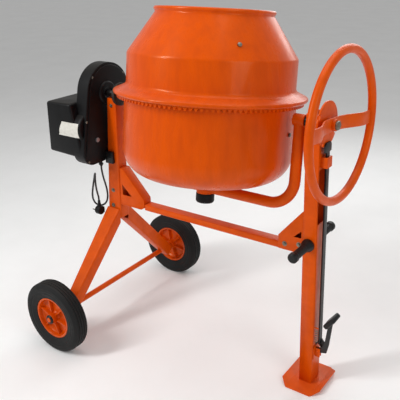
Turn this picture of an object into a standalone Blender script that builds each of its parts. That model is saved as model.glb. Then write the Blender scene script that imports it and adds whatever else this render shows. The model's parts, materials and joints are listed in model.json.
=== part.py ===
"""Concrete mixer: a tilting drum on a yoke, carried by a column and an A-shaped wheel frame.

The frame's origin is on the floor under the column's centre. +X runs away from the drum
towards the tilt wheel, +Z is up, and the drum leans a little towards +Y. Metres throughout.
"""

import math

import bmesh
import bpy
from mathutils import Matrix, Vector

# ---- Driving dimensions -------------------------------------------------------------------
GAP = 0.0003  # between two pieces that touch
SHEET = 0.003  # drum and cover walls

# Where the main axes are
TILT_Z = 0.971  # tilt axis above the floor
DRUM_X = -0.412  # drum axis from the column's centre
LEAN = math.radians(7.9)  # drum axis from upright, towards +Y

# Drum, measured along its own axis from the tilt axis
BOWL_R = 0.300
BOWL_BOTTOM = -0.266
KNUCKLE_R = 0.095
KNUCKLE_H = -0.148
CYLINDER_R = 0.2945
CONE_FOOT_H = 0.180
MOUTH_R = 0.208
MOUTH_H = 0.335
BEAD_R = 0.007
JOINT_H = 0.046  # plane where the two halves meet
SKIRT_R = 0.338
SKIRT_TOP_H = 0.078
SKIRT_EDGE_R = 0.0075
TURNS = 40  # facets round the drum
HUB_FLANGE_R = 0.050

# Ring gear and pinion
RING_TEETH = 120
PINION_TEETH = 12
RING_MEAN_R = 0.3135
GEAR_WIDTH = 0.0235
RING_ADDENDUM = 0.0038
RING_DEDENDUM = 0.0055
PINION_ADDENDUM = 0.0045
PINION_DEDENDUM = 0.0050
BACKLASH = 0.0014
PRESSURE = math.radians(20)

# Yoke
ARM_X = 0.3515  # arm's centre from the drum axis
YOKE_TUBE_R = 0.019
YOKE_BEND_R = 0.090
YOKE_LOW_H = -0.291
SLEEVE_R = 0.0205
SLEEVE_LENGTH = 0.040
BOSS_R = 0.033
BOSS_LOW_H = -0.3115
SHAFT_R = 0.010
SPINDLE_R = 0.0125
CAP_R = 0.034
CAP_LOW_H = -0.346

# Tilt wheel and lock
WHEEL_RING_R = 0.2355  # centreline of the ring
WHEEL_TUBE_R = 0.014
WHEEL_RING_STAND = 0.0617  # from the column's face, as the four below
WHEEL_HUB_STAND = 0.028
WHEEL_HUB_R = 0.019
WHEEL_TURN = math.radians(2.5)
STRAP_HEIGHT = 0.045
STRAP_THICK = 0.005
DISC_R = 0.074
DISC_THICK = 0.006
DISC_STAND = 0.008
NOTCH_WIDTH = 0.016
NOTCH_DEPTH = 0.011
NOTCH_ANGLES = [math.radians(157.9 + 45 * notch) for notch in range(5)]

# Column, handles and foot
COLUMN_W = 0.048
COLUMN_D = 0.064
COLUMN_TOP = 1.005
WINDOW_LOW = 0.630
WINDOW_HIGH = 0.822
FOOT_THICK = 0.004
FOOT_FLAT = 0.052  # half the flat's width
FOOT_EDGE = 0.075  # half the width over the turned-up edges
FOOT_RISE = 0.015
FOOT_LENGTH = 0.188
FOOT_CORNER = 0.040
HANDLE_Z = 0.556
HANDLE_R = 0.008
HANDLE_REACH = 0.150
GRIP_R = 0.0135

# Beam, post, legs and wheels
BEAM_DEPTH = 0.043
BEAM_HEIGHT = 0.025
BEAM_Z = 0.5205
GUSSET_LOW_Z = 0.507
GUSSET_TOP_Z = 0.667
COLUMN_STUB = 0.095
COLUMN_STUB_Z = 0.563
COLUMN_GUSSET_D = 0.056
POST_STUB = 0.126
POST_STUB_Z = 0.553
POST_GUSSET_D = 0.044
POST_TOP_X = -0.865
POST_FOOT_X = -0.897
POST_TOP_Z = 0.955
POST_FOOT_Z = 0.445
POST_TOP_W = 0.046
POST_FOOT_W = 0.070
POST_D = 0.050
LEG_TOP_W = 0.068
LEG_FOOT_W = 0.045
LEG_TOP_X = -0.898
LEG_FOOT_X = -0.911
LEG_D = 0.050
LEG_TOP_Y = 0.012
LEG_TOP_Z = 0.470
AXLE_X = -0.915
AXLE_R = 0.011
JOURNAL_R = 0.010
TYRE_R = 0.147
TYRE_W = 0.066
RIM_R = 0.0855
WHEEL_Y = 0.376  # middle of the tyre

# Belt drive
CASE_X = -0.9115
CASE_DEPTH = 0.063
CASE_R = 0.115
CASE_Y = 0.014
CASE_LOW_R = 0.052
CASE_LOW_Y = -0.098
CASE_LOW_END_Y = -0.050
CASE_LOW_Z = 0.748
HUB_BULGE_R = 0.045
MOTOR_Y = -0.088
MOTOR_Z = 0.840
MOTOR_R = 0.056
MOTOR_LENGTH = 0.100
PULLEY_ROOM = 0.022  # belt pulley to the outside of its case
MOTOR_PULLEY_R = 0.0105
PULLEY_X = -0.940
PULLEY_W = 0.016
BELT_THICK = 0.003
COVER_REACH = 0.128
COVER_FRONT_Y = -0.152
COVER_REAR_Y = 0.030
COVER_LOW_Z = 0.727
COVER_HIGH_Z = 0.946

# Lock rod and pedal
ROD_STAND = 0.0145
ROD_THICK = 0.006
ROD_WIDE = 0.020
ROD_FOOT_Z = 0.165
HEAD_Z = 0.880
HEAD_TOP = 0.913
HEAD_WIDE = 0.044
GUIDE_LOW = 0.829
GUIDE_HIGH = 0.865
PIVOT_STAND = 0.0125
PIVOT_Z = 0.140
CRANK = 0.018
CRANK_ANGLE = math.radians(16)

# Cord
CLIP_X = -0.8905
CLIP_Z = 0.711
CORD_R = 0.0038
CORD_ROUTE = [
    (-0.9300, -0.0460, 0.6715), (-0.9300, -0.0460, 0.6570), (-0.9290, -0.0440, 0.6350),
    (-0.9285, -0.0390, 0.6100), (-0.9290, -0.0320, 0.5850), (-0.9300, -0.0260, 0.5600),
    (-0.9330, -0.0220, 0.5330), (-0.9410, -0.0200, 0.5070), (-0.9550, -0.0230, 0.4880),
    (-0.9730, -0.0300, 0.4810), (-0.9900, -0.0380, 0.4880), (-0.9990, -0.0430, 0.5070),
    (-0.9990, -0.0450, 0.5310), (-0.9930, -0.0460, 0.5570), (-0.9850, -0.0470, 0.5830),
    (-0.9760, -0.0490, 0.6070), (-0.9650, -0.0545, 0.6275), (-0.9520, -0.0640, 0.6390),
    (-0.9410, -0.0750, 0.6370), (-0.9345, -0.0825, 0.6220), (-0.9330, -0.0840, 0.6010),
    (-0.9355, -0.0800, 0.5800), (-0.9400, -0.0730, 0.5620), (-0.9450, -0.0655, 0.5470),
    (-0.9490, -0.0595, 0.5340), (-0.9500, -0.0580, 0.5230), (-0.9500, -0.0580, 0.5180),
]
CORD_POINTS = 56

# Values that follow from the sizes above
PITCH_R = RING_MEAN_R * PINION_TEETH / RING_TEETH
HUB_HOLE_R = SPINDLE_R * 2 + 0.0005
FACET_DIP = BOWL_R * (1 - math.cos(math.pi / TURNS))
RING_IN_R = RING_MEAN_R - GEAR_WIDTH / 2
RING_OUT_R = RING_MEAN_R + GEAR_WIDTH / 2
COLUMN_FACE = COLUMN_W / 2
WHEEL_RING_X = COLUMN_FACE + WHEEL_RING_STAND
WHEEL_HUB_X = COLUMN_FACE + WHEEL_HUB_STAND
DISC_X = COLUMN_FACE + DISC_STAND
ROD_X = COLUMN_FACE + ROD_STAND
PIVOT_X = COLUMN_FACE + PIVOT_STAND
PULLEY_R = CASE_R - PULLEY_ROOM
TYRE_OUT_Y = WHEEL_Y + TYRE_W / 2
POST_RIGHT_TOP = POST_TOP_X + POST_TOP_W / 2
CASE_BACK = CASE_X - CASE_DEPTH
DISC_LOW = TILT_Z - DISC_R

ORANGE = ("orange_enamel", (0.80, 0.16, 0.005), 0.28, 0.0)
BLACK_PLASTIC = ("black_plastic", (0.012, 0.012, 0.013), 0.42, 0.0)
WHEEL_PLASTIC = ("orange_plastic", (0.78, 0.14, 0.006), 0.34, 0.0)
RUBBER = ("black_rubber", (0.015, 0.015, 0.016), 0.75, 0.0)
ZINC = ("zinc_plated_steel", (0.62, 0.60, 0.55), 0.35, 1.0)
STEEL = ("plain_steel", (0.42, 0.42, 0.43), 0.40, 1.0)
BLACK_STEEL = ("black_painted_steel", (0.014, 0.014, 0.015), 0.45, 0.0)
IRON = ("cast_iron", (0.05, 0.045, 0.042), 0.60, 0.8)
GREEN = ("green_plastic", (0.02, 0.30, 0.06), 0.40, 0.0)
RED = ("red_plastic", (0.55, 0.02, 0.02), 0.40, 0.0)


# ---- Tools ----------------------------------------------------------------------------------
def clear_scene():
    for obj in list(bpy.data.objects):
        bpy.data.objects.remove(obj, do_unlink=True)


def new_collection(name):
    collection = bpy.data.collections.new(name)
    bpy.context.scene.collection.children.link(collection)
    return collection


def finish_of(spec):
    """The Principled material of a finish, made once and then shared."""
    name, colour, roughness, metallic = spec
    found = bpy.data.materials.get(name)
    if found:
        return found
    made = bpy.data.materials.new(name)
    made.use_nodes = True
    shader = made.node_tree.nodes["Principled BSDF"]
    shader.inputs["Base Color"].default_value = (*colour, 1.0)
    shader.inputs["Roughness"].default_value = roughness
    shader.inputs["Metallic"].default_value = metallic
    return made


def add(name, data, finish, parent=None):
    obj = bpy.data.objects.new(name, data)
    PARTS.objects.link(obj)
    obj.parent = parent
    if finish:
        data.materials.append(finish_of(finish))
    return obj


def mesh_from(name, work):
    mesh = bpy.data.meshes.new(name)
    work.to_mesh(mesh)
    work.free()
    return mesh


def round_shaded(obj):
    obj.data.shade_smooth()
    obj.data.set_sharp_from_angle(angle=math.radians(35))
    return obj


def box(name, size, centre, finish=None, parent=None, bevel=0.0):
    work = bmesh.new()
    bmesh.ops.create_cube(work, size=1.0)
    bmesh.ops.scale(work, vec=size, verts=work.verts)
    obj = add(name, mesh_from(name, work), finish, parent)
    obj.location = centre
    if bevel:
        soften = obj.modifiers.new("edges", "BEVEL")
        soften.width = bevel
        soften.segments = 1
    return obj


def rod(name, radius, start, end, finish=None, parent=None, sides=24):
    """A cylinder from start to end, in its parent's space."""
    start, end = Vector(start), Vector(end)
    work = bmesh.new()
    bmesh.ops.create_cone(work, cap_ends=True, segments=sides, radius1=radius,
                          radius2=radius, depth=(end - start).length)
    obj = add(name, mesh_from(name, work), finish, parent)
    obj.location = (start + end) / 2
    obj.rotation_mode = "QUATERNION"
    obj.rotation_quaternion = (end - start).to_track_quat("Z", "Y")
    return round_shaded(obj)


def turned(name, profile, finish=None, parent=None, steps=32, closed=True):
    """A profile of (radius, height) turned about Z. It runs down its outer side."""
    work = bmesh.new()
    verts = [work.verts.new((radius, 0.0, height)) for radius, height in profile]
    for first, second in zip(verts, verts[1:]):
        work.edges.new((first, second))
    if closed:
        work.edges.new((verts[-1], verts[0]))
    obj = add(name, mesh_from(name, work), finish, parent)
    screw = obj.modifiers.new("turn", "SCREW")
    screw.steps = steps
    screw.render_steps = steps
    screw.use_merge_vertices = True
    screw.merge_threshold = 0.00001
    screw.use_smooth_shade = True
    return obj


PLANES = {
    "X": (math.pi / 2, 0.0, math.pi / 2),  # outline x, y run along Y, Z
    "Y": (math.pi / 2, 0.0, 0.0),  # outline x, y run along X, Z
    "Z": (0.0, 0.0, 0.0),
}


def outline(name, loops, thickness, centre, plane, finish=None, parent=None):
    """A flat outline, with any holes as further loops, made thick about centre."""
    curve = bpy.data.curves.new(name, "CURVE")
    curve.dimensions = "2D"
    curve.fill_mode = "BOTH"
    curve.extrude = thickness / 2
    for loop in loops:
        spline = curve.splines.new("POLY")
        spline.points.add(len(loop) - 1)
        for point, (across, along) in zip(spline.points, loop):
            point.co = (across, along, 0.0, 1.0)
        spline.use_cyclic_u = True
    obj = add(name, curve, finish, parent)
    obj.location = centre
    obj.rotation_euler = PLANES[plane]
    return obj


def tube(name, points, radius, finish=None, parent=None, resolution=2, closed=False):
    curve = bpy.data.curves.new(name, "CURVE")
    curve.dimensions = "3D"
    curve.bevel_depth = radius
    curve.bevel_resolution = resolution
    curve.use_fill_caps = True
    spline = curve.splines.new("POLY")
    spline.points.add(len(points) - 1)
    for point, place in zip(spline.points, points):
        point.co = (*place, 1.0)
    spline.use_cyclic_u = closed
    return add(name, curve, finish, parent)


def as_mesh(obj):
    """Turns a curve object into a welded mesh, so that it can be cut or joined."""
    bpy.context.view_layer.update()
    graph = bpy.context.evaluated_depsgraph_get()
    mesh = bpy.data.meshes.new_from_object(obj.evaluated_get(graph))
    work = bmesh.new()
    work.from_mesh(mesh)
    bmesh.ops.remove_doubles(work, verts=work.verts, dist=0.00001)
    work.to_mesh(mesh)
    work.free()
    name, parent, basis = obj.name, obj.parent, obj.matrix_basis.copy()
    bpy.data.objects.remove(obj)
    made = bpy.data.objects.new(name, mesh)
    PARTS.objects.link(made)
    made.parent = parent
    made.matrix_basis = basis
    return made


def boolean(obj, tool, operation):
    """Cuts obj with a tool or joins the tool to it, and puts the tool with the cutters."""
    if tool.type == "CURVE":
        tool = as_mesh(tool)
    step = obj.modifiers.new(operation.lower(), "BOOLEAN")
    step.operation = operation
    step.object = tool
    step.solver = "EXACT"
    for home in list(tool.users_collection):
        home.objects.unlink(tool)
    CUTTERS.objects.link(tool)
    tool.hide_render = True
    tool.display_type = "WIRE"


def cut(obj, tool):
    boolean(obj, tool, "DIFFERENCE")


def join(obj, tool):
    boolean(obj, tool, "UNION")


def arc(centre, radius, start, end, count):
    """Points on an arc, angles in degrees."""
    points = []
    for i in range(count):
        angle = math.radians(start + (end - start) * i / (count - 1))
        points.append((centre[0] + radius * math.cos(angle),
                       centre[1] + radius * math.sin(angle)))
    return points


def circle(centre, radius, count=24):
    return arc(centre, radius, 0, 360 * (count - 1) / count, count)


def oblong(low, high):
    return [(low[0], low[1]), (high[0], low[1]), (high[0], high[1]), (low[0], high[1])]


def band_round(circles, count):
    """The outline of a tight band round circles, each (centre, radius)."""
    points = []
    for centre, radius in circles:
        points += circle(centre, radius, count)
    points = sorted(set(points))
    hull = []
    for way in (points, reversed(points)):
        side = []
        for point in way:
            while len(side) > 1 and turn_of(side[-2], side[-1], point) <= 0:
                side.pop()
            side.append(point)
        hull += side[:-1]
    return hull


def turn_of(first, second, third):
    return ((second[0] - first[0]) * (third[1] - first[1])
            - (second[1] - first[1]) * (third[0] - first[0]))


def smooth_route(points, count):
    """Evenly counted points on a smooth curve through the given ones."""
    knots = [Vector(p) for p in points]
    knots = [2 * knots[0] - knots[1], *knots, 2 * knots[-1] - knots[-2]]
    spans = len(points) - 1
    route = []
    for i in range(count):
        at = spans * i / (count - 1)
        span = min(int(at), spans - 1)
        t = at - span
        p0, p1, p2, p3 = knots[span:span + 4]
        route.append(0.5 * (2 * p1 + (p2 - p0) * t + (2 * p0 - 5 * p1 + 4 * p2 - p3) * t * t
                            + (3 * p1 - 3 * p2 + p3 - p0) * t ** 3))
    return route


def empty(name, location, rotation=(0.0, 0.0, 0.0)):
    obj = bpy.data.objects.new(name, None)
    PARTS.objects.link(obj)
    obj.location = location
    obj.rotation_euler = rotation
    return obj


# ---- Drum -----------------------------------------------------------------------------------
def drum_upper(axis):
    """Cone, cylinder, joint flange and the skirt that covers the ring gear."""
    bead = (MOUTH_R - BEAD_R, MOUTH_H - BEAD_R)
    neck = (MOUTH_R - 0.005, MOUTH_H - 0.018)
    inner_r = CYLINDER_R - SHEET
    edge = (SKIRT_R - SKIRT_EDGE_R, JOINT_H + 0.0015)
    lip_in = RING_OUT_R + 0.0055
    flange_r = RING_OUT_R + 0.001
    profile = arc(bead, BEAD_R, 215, -50, 7)
    profile += [neck, (CYLINDER_R, CONE_FOOT_H), (CYLINDER_R, SKIRT_TOP_H)]
    profile += [(CYLINDER_R + 0.007, SKIRT_TOP_H - 0.009)]
    profile += arc(edge, SKIRT_EDGE_R, 62, -80, 5)
    profile += [(lip_in, edge[1] - SKIRT_EDGE_R), (lip_in, edge[1] + 0.002)]
    profile += [(CYLINDER_R + 0.004, SKIRT_TOP_H - 0.014), (CYLINDER_R, SKIRT_TOP_H - 0.010)]
    profile += [(CYLINDER_R, JOINT_H + SHEET), (flange_r, JOINT_H + SHEET)]
    profile += [(flange_r, JOINT_H), (inner_r, JOINT_H), (inner_r, CONE_FOOT_H - 0.001)]
    profile += [(neck[0] - 0.0025, neck[1] - 0.0017)]
    return turned("drum_upper", profile, ORANGE, axis, TURNS)


def bowl_arc(wall):
    centre = (BOWL_R - KNUCKLE_R, KNUCKLE_H)
    return arc(centre, KNUCKLE_R - wall, 0, -78, 6)


def floor_at(radius):
    """Height of the bowl's floor inside, which falls towards the hub's hole."""
    last = bowl_arc(SHEET)[-1]
    share = (radius - HUB_HOLE_R) / (last[0] - HUB_HOLE_R)
    return BOWL_BOTTOM + SHEET + share * (last[1] - BOWL_BOTTOM - SHEET)


def drum_lower(axis):
    hole = HUB_HOLE_R
    top = JOINT_H - GAP
    profile = [(BOWL_R, top), *bowl_arc(0.0), (hole, BOWL_BOTTOM)]
    profile += [(hole, BOWL_BOTTOM + SHEET), *reversed(bowl_arc(SHEET)), (BOWL_R - SHEET, top)]
    return turned("drum_lower", profile, ORANGE, axis, TURNS)


def drum_hub(axis):
    """The bearing housing on the bowl's floor, with a blind bore for the spindle."""
    floor, edge = BOWL_BOTTOM + SHEET, HUB_FLANGE_R
    bore = SPINDLE_R + 0.0005
    neck = HUB_HOLE_R - 0.0010
    profile = [(0, floor + 0.067), (0.026, floor + 0.067), (0.030, floor + 0.061)]
    profile += [(0.030, floor + 0.015), (edge, floor_at(edge) + 0.007)]
    profile += [(edge, floor_at(edge) + GAP), (neck, floor_at(neck) + GAP)]
    profile += [(neck, BOWL_BOTTOM - 0.001)]
    profile += [(bore, BOWL_BOTTOM - 0.001), (bore, floor + 0.055), (0, floor + 0.055)]
    return turned("drum_hub", profile, IRON, axis, 20, closed=False)


def ring_gear(axis):
    """A crown gear under the joint flange, whose teeth point down."""
    step = 2 * math.pi / RING_TEETH
    half_pitch = (math.pi * RING_MEAN_R / RING_TEETH - BACKLASH / 2) / 2
    half_root = (half_pitch + RING_DEDENDUM * math.tan(PRESSURE)) / RING_MEAN_R
    half_tip = (half_pitch - RING_ADDENDUM * math.tan(PRESSURE)) / RING_MEAN_R
    root_h, tip_h, top_h = PITCH_R + RING_DEDENDUM, PITCH_R - RING_ADDENDUM, JOINT_H - GAP
    corners = [(-half_root, root_h), (-half_tip, tip_h), (half_tip, tip_h), (half_root, root_h)]
    work = bmesh.new()

    def ring_of(radius):
        low, high = [], []
        for tooth in range(RING_TEETH):
            for turn, height in corners:
                angle = tooth * step + turn
                low.append(work.verts.new((radius * math.cos(angle),
                                           radius * math.sin(angle), height)))
            angle = tooth * step - half_root
            high.append(work.verts.new((radius * math.cos(angle),
                                        radius * math.sin(angle), top_h)))
        return low, high

    low_in, high_in = ring_of(RING_IN_R)
    low_out, high_out = ring_of(RING_OUT_R)
    count = len(corners)
    for tooth in range(RING_TEETH):
        after = (tooth + 1) % RING_TEETH
        span = [tooth * count + i for i in range(count)] + [after * count]
        for here, there in zip(span, span[1:]):
            work.faces.new((low_in[here], low_in[there], low_out[there], low_out[here]))
        work.faces.new((high_in[tooth], high_out[tooth], high_out[after], high_in[after]))
        work.faces.new([high_in[after]] + [low_in[i] for i in reversed(span)] + [high_in[tooth]])
        work.faces.new([high_out[tooth]] + [low_out[i] for i in span] + [high_out[after]])
    bmesh.ops.recalc_face_normals(work, faces=work.faces)
    return add("ring_gear", mesh_from("ring_gear", work), ORANGE, axis)


# A paddle is bolted to the bowl and to the cone, and winds part of a turn between them.
BOWL_BOLT_H = -0.061
CONE_BOLT_H = 0.227
BOWL_BOLT_TURN = 7.0
CONE_BOLT_TURN = -38.0
LUG = 0.022
LUG_DEEP = 0.017
BOLT_R = 0.004


def cone_line():
    """The cone's outer line: its foot, and unit vectors up it and out of it."""
    foot = Vector((CYLINDER_R, CONE_FOOT_H))
    up = (Vector((MOUTH_R - 0.005, MOUTH_H - 0.018)) - foot).normalized()
    return foot, up, Vector((up.y, -up.x))


def bolt_frames(turn):
    """Axes at the two bolts of a paddle: Z out of the wall, origin on its outside."""
    foot, up, out = cone_line()
    on_cone = foot + up * ((CONE_BOLT_H - CONE_FOOT_H) / up.y)
    frames = []
    for angle, spot, normal in ((BOWL_BOLT_TURN, Vector((BOWL_R, BOWL_BOLT_H)), Vector((1, 0))),
                                (CONE_BOLT_TURN, on_cone, out)):
        tilt = math.atan2(normal.x, normal.y)
        spin = Matrix.Rotation(math.radians(angle + turn), 4, "Z")
        frames.append(spin @ Matrix.Translation((spot.x, 0, spot.y))
                      @ Matrix.Rotation(tilt, 4, "Y"))
    return frames


def paddle(name, axis, turn):
    """A twisted blade with a lug at each bolt."""
    rows = 9
    work = bmesh.new()
    bmesh.ops.create_grid(work, x_segments=1, y_segments=rows - 1, size=1.0)
    foot, up, out = cone_line()
    for vert in work.verts:
        along = (vert.co.y + 1) / 2
        height = BOWL_BOLT_H - 0.035 + along * (CONE_BOLT_H - BOWL_BOLT_H + 0.045)
        wall = BOWL_R if height < CONE_FOOT_H else foot.x + (height - foot.y) * up.x / up.y
        radius = wall - (0.014 if vert.co.x > 0 else 0.075 - 0.02 * along)
        share = (height - BOWL_BOLT_H) / (CONE_BOLT_H - BOWL_BOLT_H)
        angle = math.radians(turn + BOWL_BOLT_TURN + share * (CONE_BOLT_TURN - BOWL_BOLT_TURN))
        vert.co = (radius * math.cos(angle), radius * math.sin(angle), height)
    blade = add(name, mesh_from(name, work), ORANGE, axis)
    thicken = blade.modifiers.new("thickness", "SOLIDIFY")
    thicken.thickness = 0.004
    thicken.offset = 0.0
    for index, frame in enumerate(bolt_frames(turn)):
        lug = box(f"{name}_lug_{index}", (LUG, LUG, LUG_DEEP), (0, 0, 0), None, axis)
        depth = SHEET + FACET_DIP + 2 * GAP + LUG_DEEP / 2
        lug.matrix_basis = frame @ Matrix.Translation((0, 0, -depth))
        join(blade, lug)
        hole = rod(f"{name}_hole_{index}", BOLT_R + GAP, (0, 0, -0.013), (0, 0, 0.001),
                   None, axis, 12)
        hole.matrix_basis = frame @ hole.matrix_basis
        cut(blade, hole)
    return blade


def paddle_bolt(name, axis, frame, wall):
    """A hexagon bolt through the drum's wall into a paddle's lug."""
    head = rod(name, 0.0078, (0, 0, GAP), (0, 0, 0.0056), ZINC, axis, 6)
    head.matrix_basis = frame @ head.matrix_basis
    shank = rod(f"{name}_shank", BOLT_R, (0, 0, -0.0125), (0, 0, 0.002), ZINC, axis, 12)
    shank.matrix_basis = frame @ shank.matrix_basis
    join(head, shank)
    hole = rod(f"{name}_wall_hole", BOLT_R + GAP, (0, 0, -0.008), (0, 0, 0.004), None, axis, 12)
    hole.matrix_basis = frame @ hole.matrix_basis
    cut(wall, hole)
    return head


def drum(axis):
    upper, lower = drum_upper(axis), drum_lower(axis)
    drum_hub(axis)
    ring_gear(axis)
    for letter, turn in (("a", 0.0), ("b", 180.0)):
        paddle(f"paddle_{letter}", axis, turn)
        low_frame, high_frame = bolt_frames(turn)
        paddle_bolt(f"bowl_bolt_{letter}", axis, low_frame, lower)
        paddle_bolt(f"cone_bolt_{letter}", axis, high_frame, upper)


# ---- Pinion and belt drive ---------------------------------------------------------------------
def pinion_outline():
    """An involute outline with a gap facing the ring gear."""
    base = PITCH_R * math.cos(PRESSURE)
    half = (math.pi / PINION_TEETH - BACKLASH / 2 / PITCH_R) / 2
    lead = math.tan(PRESSURE) - PRESSURE

    def flank(radius):
        if radius <= base:
            return half + lead
        slope = math.acos(base / radius)
        return half + lead - (math.tan(slope) - slope)

    radii = [PITCH_R - PINION_DEDENDUM, base, PITCH_R, PITCH_R + PINION_ADDENDUM]
    points = []
    for tooth in range(PINION_TEETH):
        middle = math.pi / 2 + (tooth + 0.5) * 2 * math.pi / PINION_TEETH
        for radius in radii:
            points.append((radius, middle - flank(radius)))
        for radius in reversed(radii):
            points.append((radius, middle + flank(radius)))
    return [(radius * math.cos(angle), radius * math.sin(angle)) for radius, angle in points]


def pinion_group(axis):
    centre = -RING_MEAN_R
    outline("pinion", [pinion_outline(), circle((0, 0), SHAFT_R + GAP)], GEAR_WIDTH,
            (centre, 0, 0), "X", IRON, axis)
    inner_end = centre + GEAR_WIDTH / 2 - 0.002
    outer_end = PULLEY_X - DRUM_X - PULLEY_W / 2 - 0.006
    rod("pinion_shaft", SHAFT_R, (outer_end, 0, 0), (inner_end, 0, 0), STEEL, axis)
    half = PULLEY_W / 2
    groove = PULLEY_R - BELT_THICK
    profile = [(PULLEY_R, half), (groove, half - 0.003), (groove, -half + 0.003)]
    profile += [(PULLEY_R, -half), (PULLEY_R - 0.012, -half), (PULLEY_R - 0.012, -0.002)]
    profile += [(0.022, -0.002), (0.022, -half), (SHAFT_R + GAP, -half)]
    profile += [(SHAFT_R + GAP, half), (0.022, half), (0.022, 0.002)]
    profile += [(PULLEY_R - 0.012, 0.002), (PULLEY_R - 0.012, half)]
    pulley = turned("belt_pulley", profile, IRON, axis, 36)
    pulley.location = (PULLEY_X - DRUM_X, 0, 0)
    pulley.rotation_euler = (0, math.pi / 2, 0)


def motor_group():
    """The motor, its rotor with the small pulley, and the belt."""
    front = CASE_BACK - GAP
    motor_at = (front, MOTOR_Y, MOTOR_Z)
    bore = 0.024
    profile = [(0, -MOTOR_LENGTH + 0.004), (bore, -MOTOR_LENGTH + 0.004), (bore, -0.006)]
    profile += [(0.010, -0.006), (0.010, 0.0), (MOTOR_R, 0.0), (MOTOR_R, -MOTOR_LENGTH + 0.008)]
    profile += [(MOTOR_R - 0.008, -MOTOR_LENGTH), (0, -MOTOR_LENGTH)]
    motor = turned("motor", profile, STEEL, None, 24, closed=False)
    motor.location = motor_at
    motor.rotation_euler = (0, math.pi / 2, 0)

    back = -MOTOR_LENGTH + 0.006
    end = PULLEY_X + PULLEY_W / 2 + 0.003 - front
    profile = [(0, end), (0.0062, end), (0.0062, -0.008), (bore - 0.002, -0.008)]
    profile += [(bore - 0.002, back), (0, back)]
    rotor = turned("motor_rotor", profile, STEEL, None, 16, closed=False)
    rotor.location = motor_at
    rotor.rotation_euler = (0, math.pi / 2, 0)

    half = PULLEY_W / 2
    profile = [(MOTOR_PULLEY_R, half), (MOTOR_PULLEY_R, -half)]
    profile += [(0.0062 + GAP, -half), (0.0062 + GAP, half)]
    pulley = turned("motor_pulley", profile, ZINC, None, 20)
    pulley.location = (PULLEY_X, MOTOR_Y, MOTOR_Z)
    pulley.rotation_euler = (0, math.pi / 2, 0)

    centres = (0.0, TILT_Z), (MOTOR_Y, MOTOR_Z)
    groove = PULLEY_R - BELT_THICK
    inside = band_round(((centres[0], groove + GAP), (centres[1], MOTOR_PULLEY_R + GAP)), 48)
    outside = band_round(((centres[0], groove + GAP + BELT_THICK),
                          (centres[1], MOTOR_PULLEY_R + GAP + BELT_THICK)), 48)
    outline("drive_belt", [outside, inside], PULLEY_W - 0.008, (PULLEY_X, 0, 0), "X", RUBBER)


def case_outline(inset=0.0):
    return band_round((((CASE_Y, TILT_Z), CASE_R - inset),
                       ((CASE_LOW_Y, CASE_LOW_Z), CASE_LOW_R - inset),
                       ((CASE_LOW_END_Y, CASE_LOW_Z), CASE_LOW_R - inset)), 40)


def belt_case():
    """The two shells round the belt, and the cover over the motor."""
    shaft_hole = SHAFT_R + 0.002
    back = as_mesh(outline("belt_case_back", [case_outline(), circle((0, TILT_Z), shaft_hole)],
                           SHEET, (CASE_X - SHEET / 2, 0, 0), "X", BLACK_PLASTIC))
    bulge = outline("hub_bulge", [circle((0, TILT_Z), HUB_BULGE_R), circle((0, TILT_Z),
                    shaft_hole)], 0.012, (CASE_X + 0.0055, 0, 0), "X")
    join(back, bulge)

    front_x = CASE_X - SHEET - GAP
    depth = front_x - CASE_BACK
    cover = as_mesh(outline("belt_case_cover", [case_outline()], depth,
                            (front_x - depth / 2, 0, 0), "X", BLACK_PLASTIC))
    cut(cover, outline("case_inside", [case_outline(SHEET)], depth,
                       (front_x - depth / 2 + SHEET, 0, 0), "X"))
    cut(cover, rod("motor_shaft_hole", 0.008, (CASE_BACK - 0.01, MOTOR_Y, MOTOR_Z),
                   (CASE_BACK + 0.01, MOTOR_Y, MOTOR_Z)))
    cut(cover, rod("gland_hole", GLAND_R + GAP, (GLAND[0], GLAND[1], CASE_LOW_Z - 0.02),
                   (GLAND[0], GLAND[1], GLAND[2]), sides=16))

    wide, high = COVER_REAR_Y - COVER_FRONT_Y, COVER_HIGH_Z - COVER_LOW_Z
    middle = (CASE_BACK - GAP - COVER_REACH / 2, (COVER_REAR_Y + COVER_FRONT_Y) / 2,
              (COVER_HIGH_Z + COVER_LOW_Z) / 2)
    shell = cover_block("motor_cover", (COVER_REACH, wide, high), middle, BLACK_PLASTIC)
    inside = (COVER_REACH, wide - 2 * SHEET, high - 2 * SHEET)
    cut(shell, cover_block("cover_inside", inside, (middle[0] + SHEET, *middle[1:]), None))


def cover_block(name, size, centre, finish):
    """A block whose far end is lower and has rounded edges."""
    work = bmesh.new()
    bmesh.ops.create_cube(work, size=1.0)
    bmesh.ops.scale(work, vec=size, verts=work.verts)
    for vert in work.verts:
        if vert.co.x < 0:
            vert.co.z *= 0.84
    edges = [edge for edge in work.edges if min(vert.co.x for vert in edge.verts) < 0]
    bmesh.ops.bevel(work, geom=edges, offset=0.012, segments=2, profile=0.5, affect="EDGES")
    block = add(name, mesh_from(name, work), finish)
    block.location = centre
    return block


GLAND_R = 0.0062
GLAND = (CORD_ROUTE[0][0], CORD_ROUTE[0][1], CASE_LOW_Z - CASE_LOW_R - 0.004)


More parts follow.
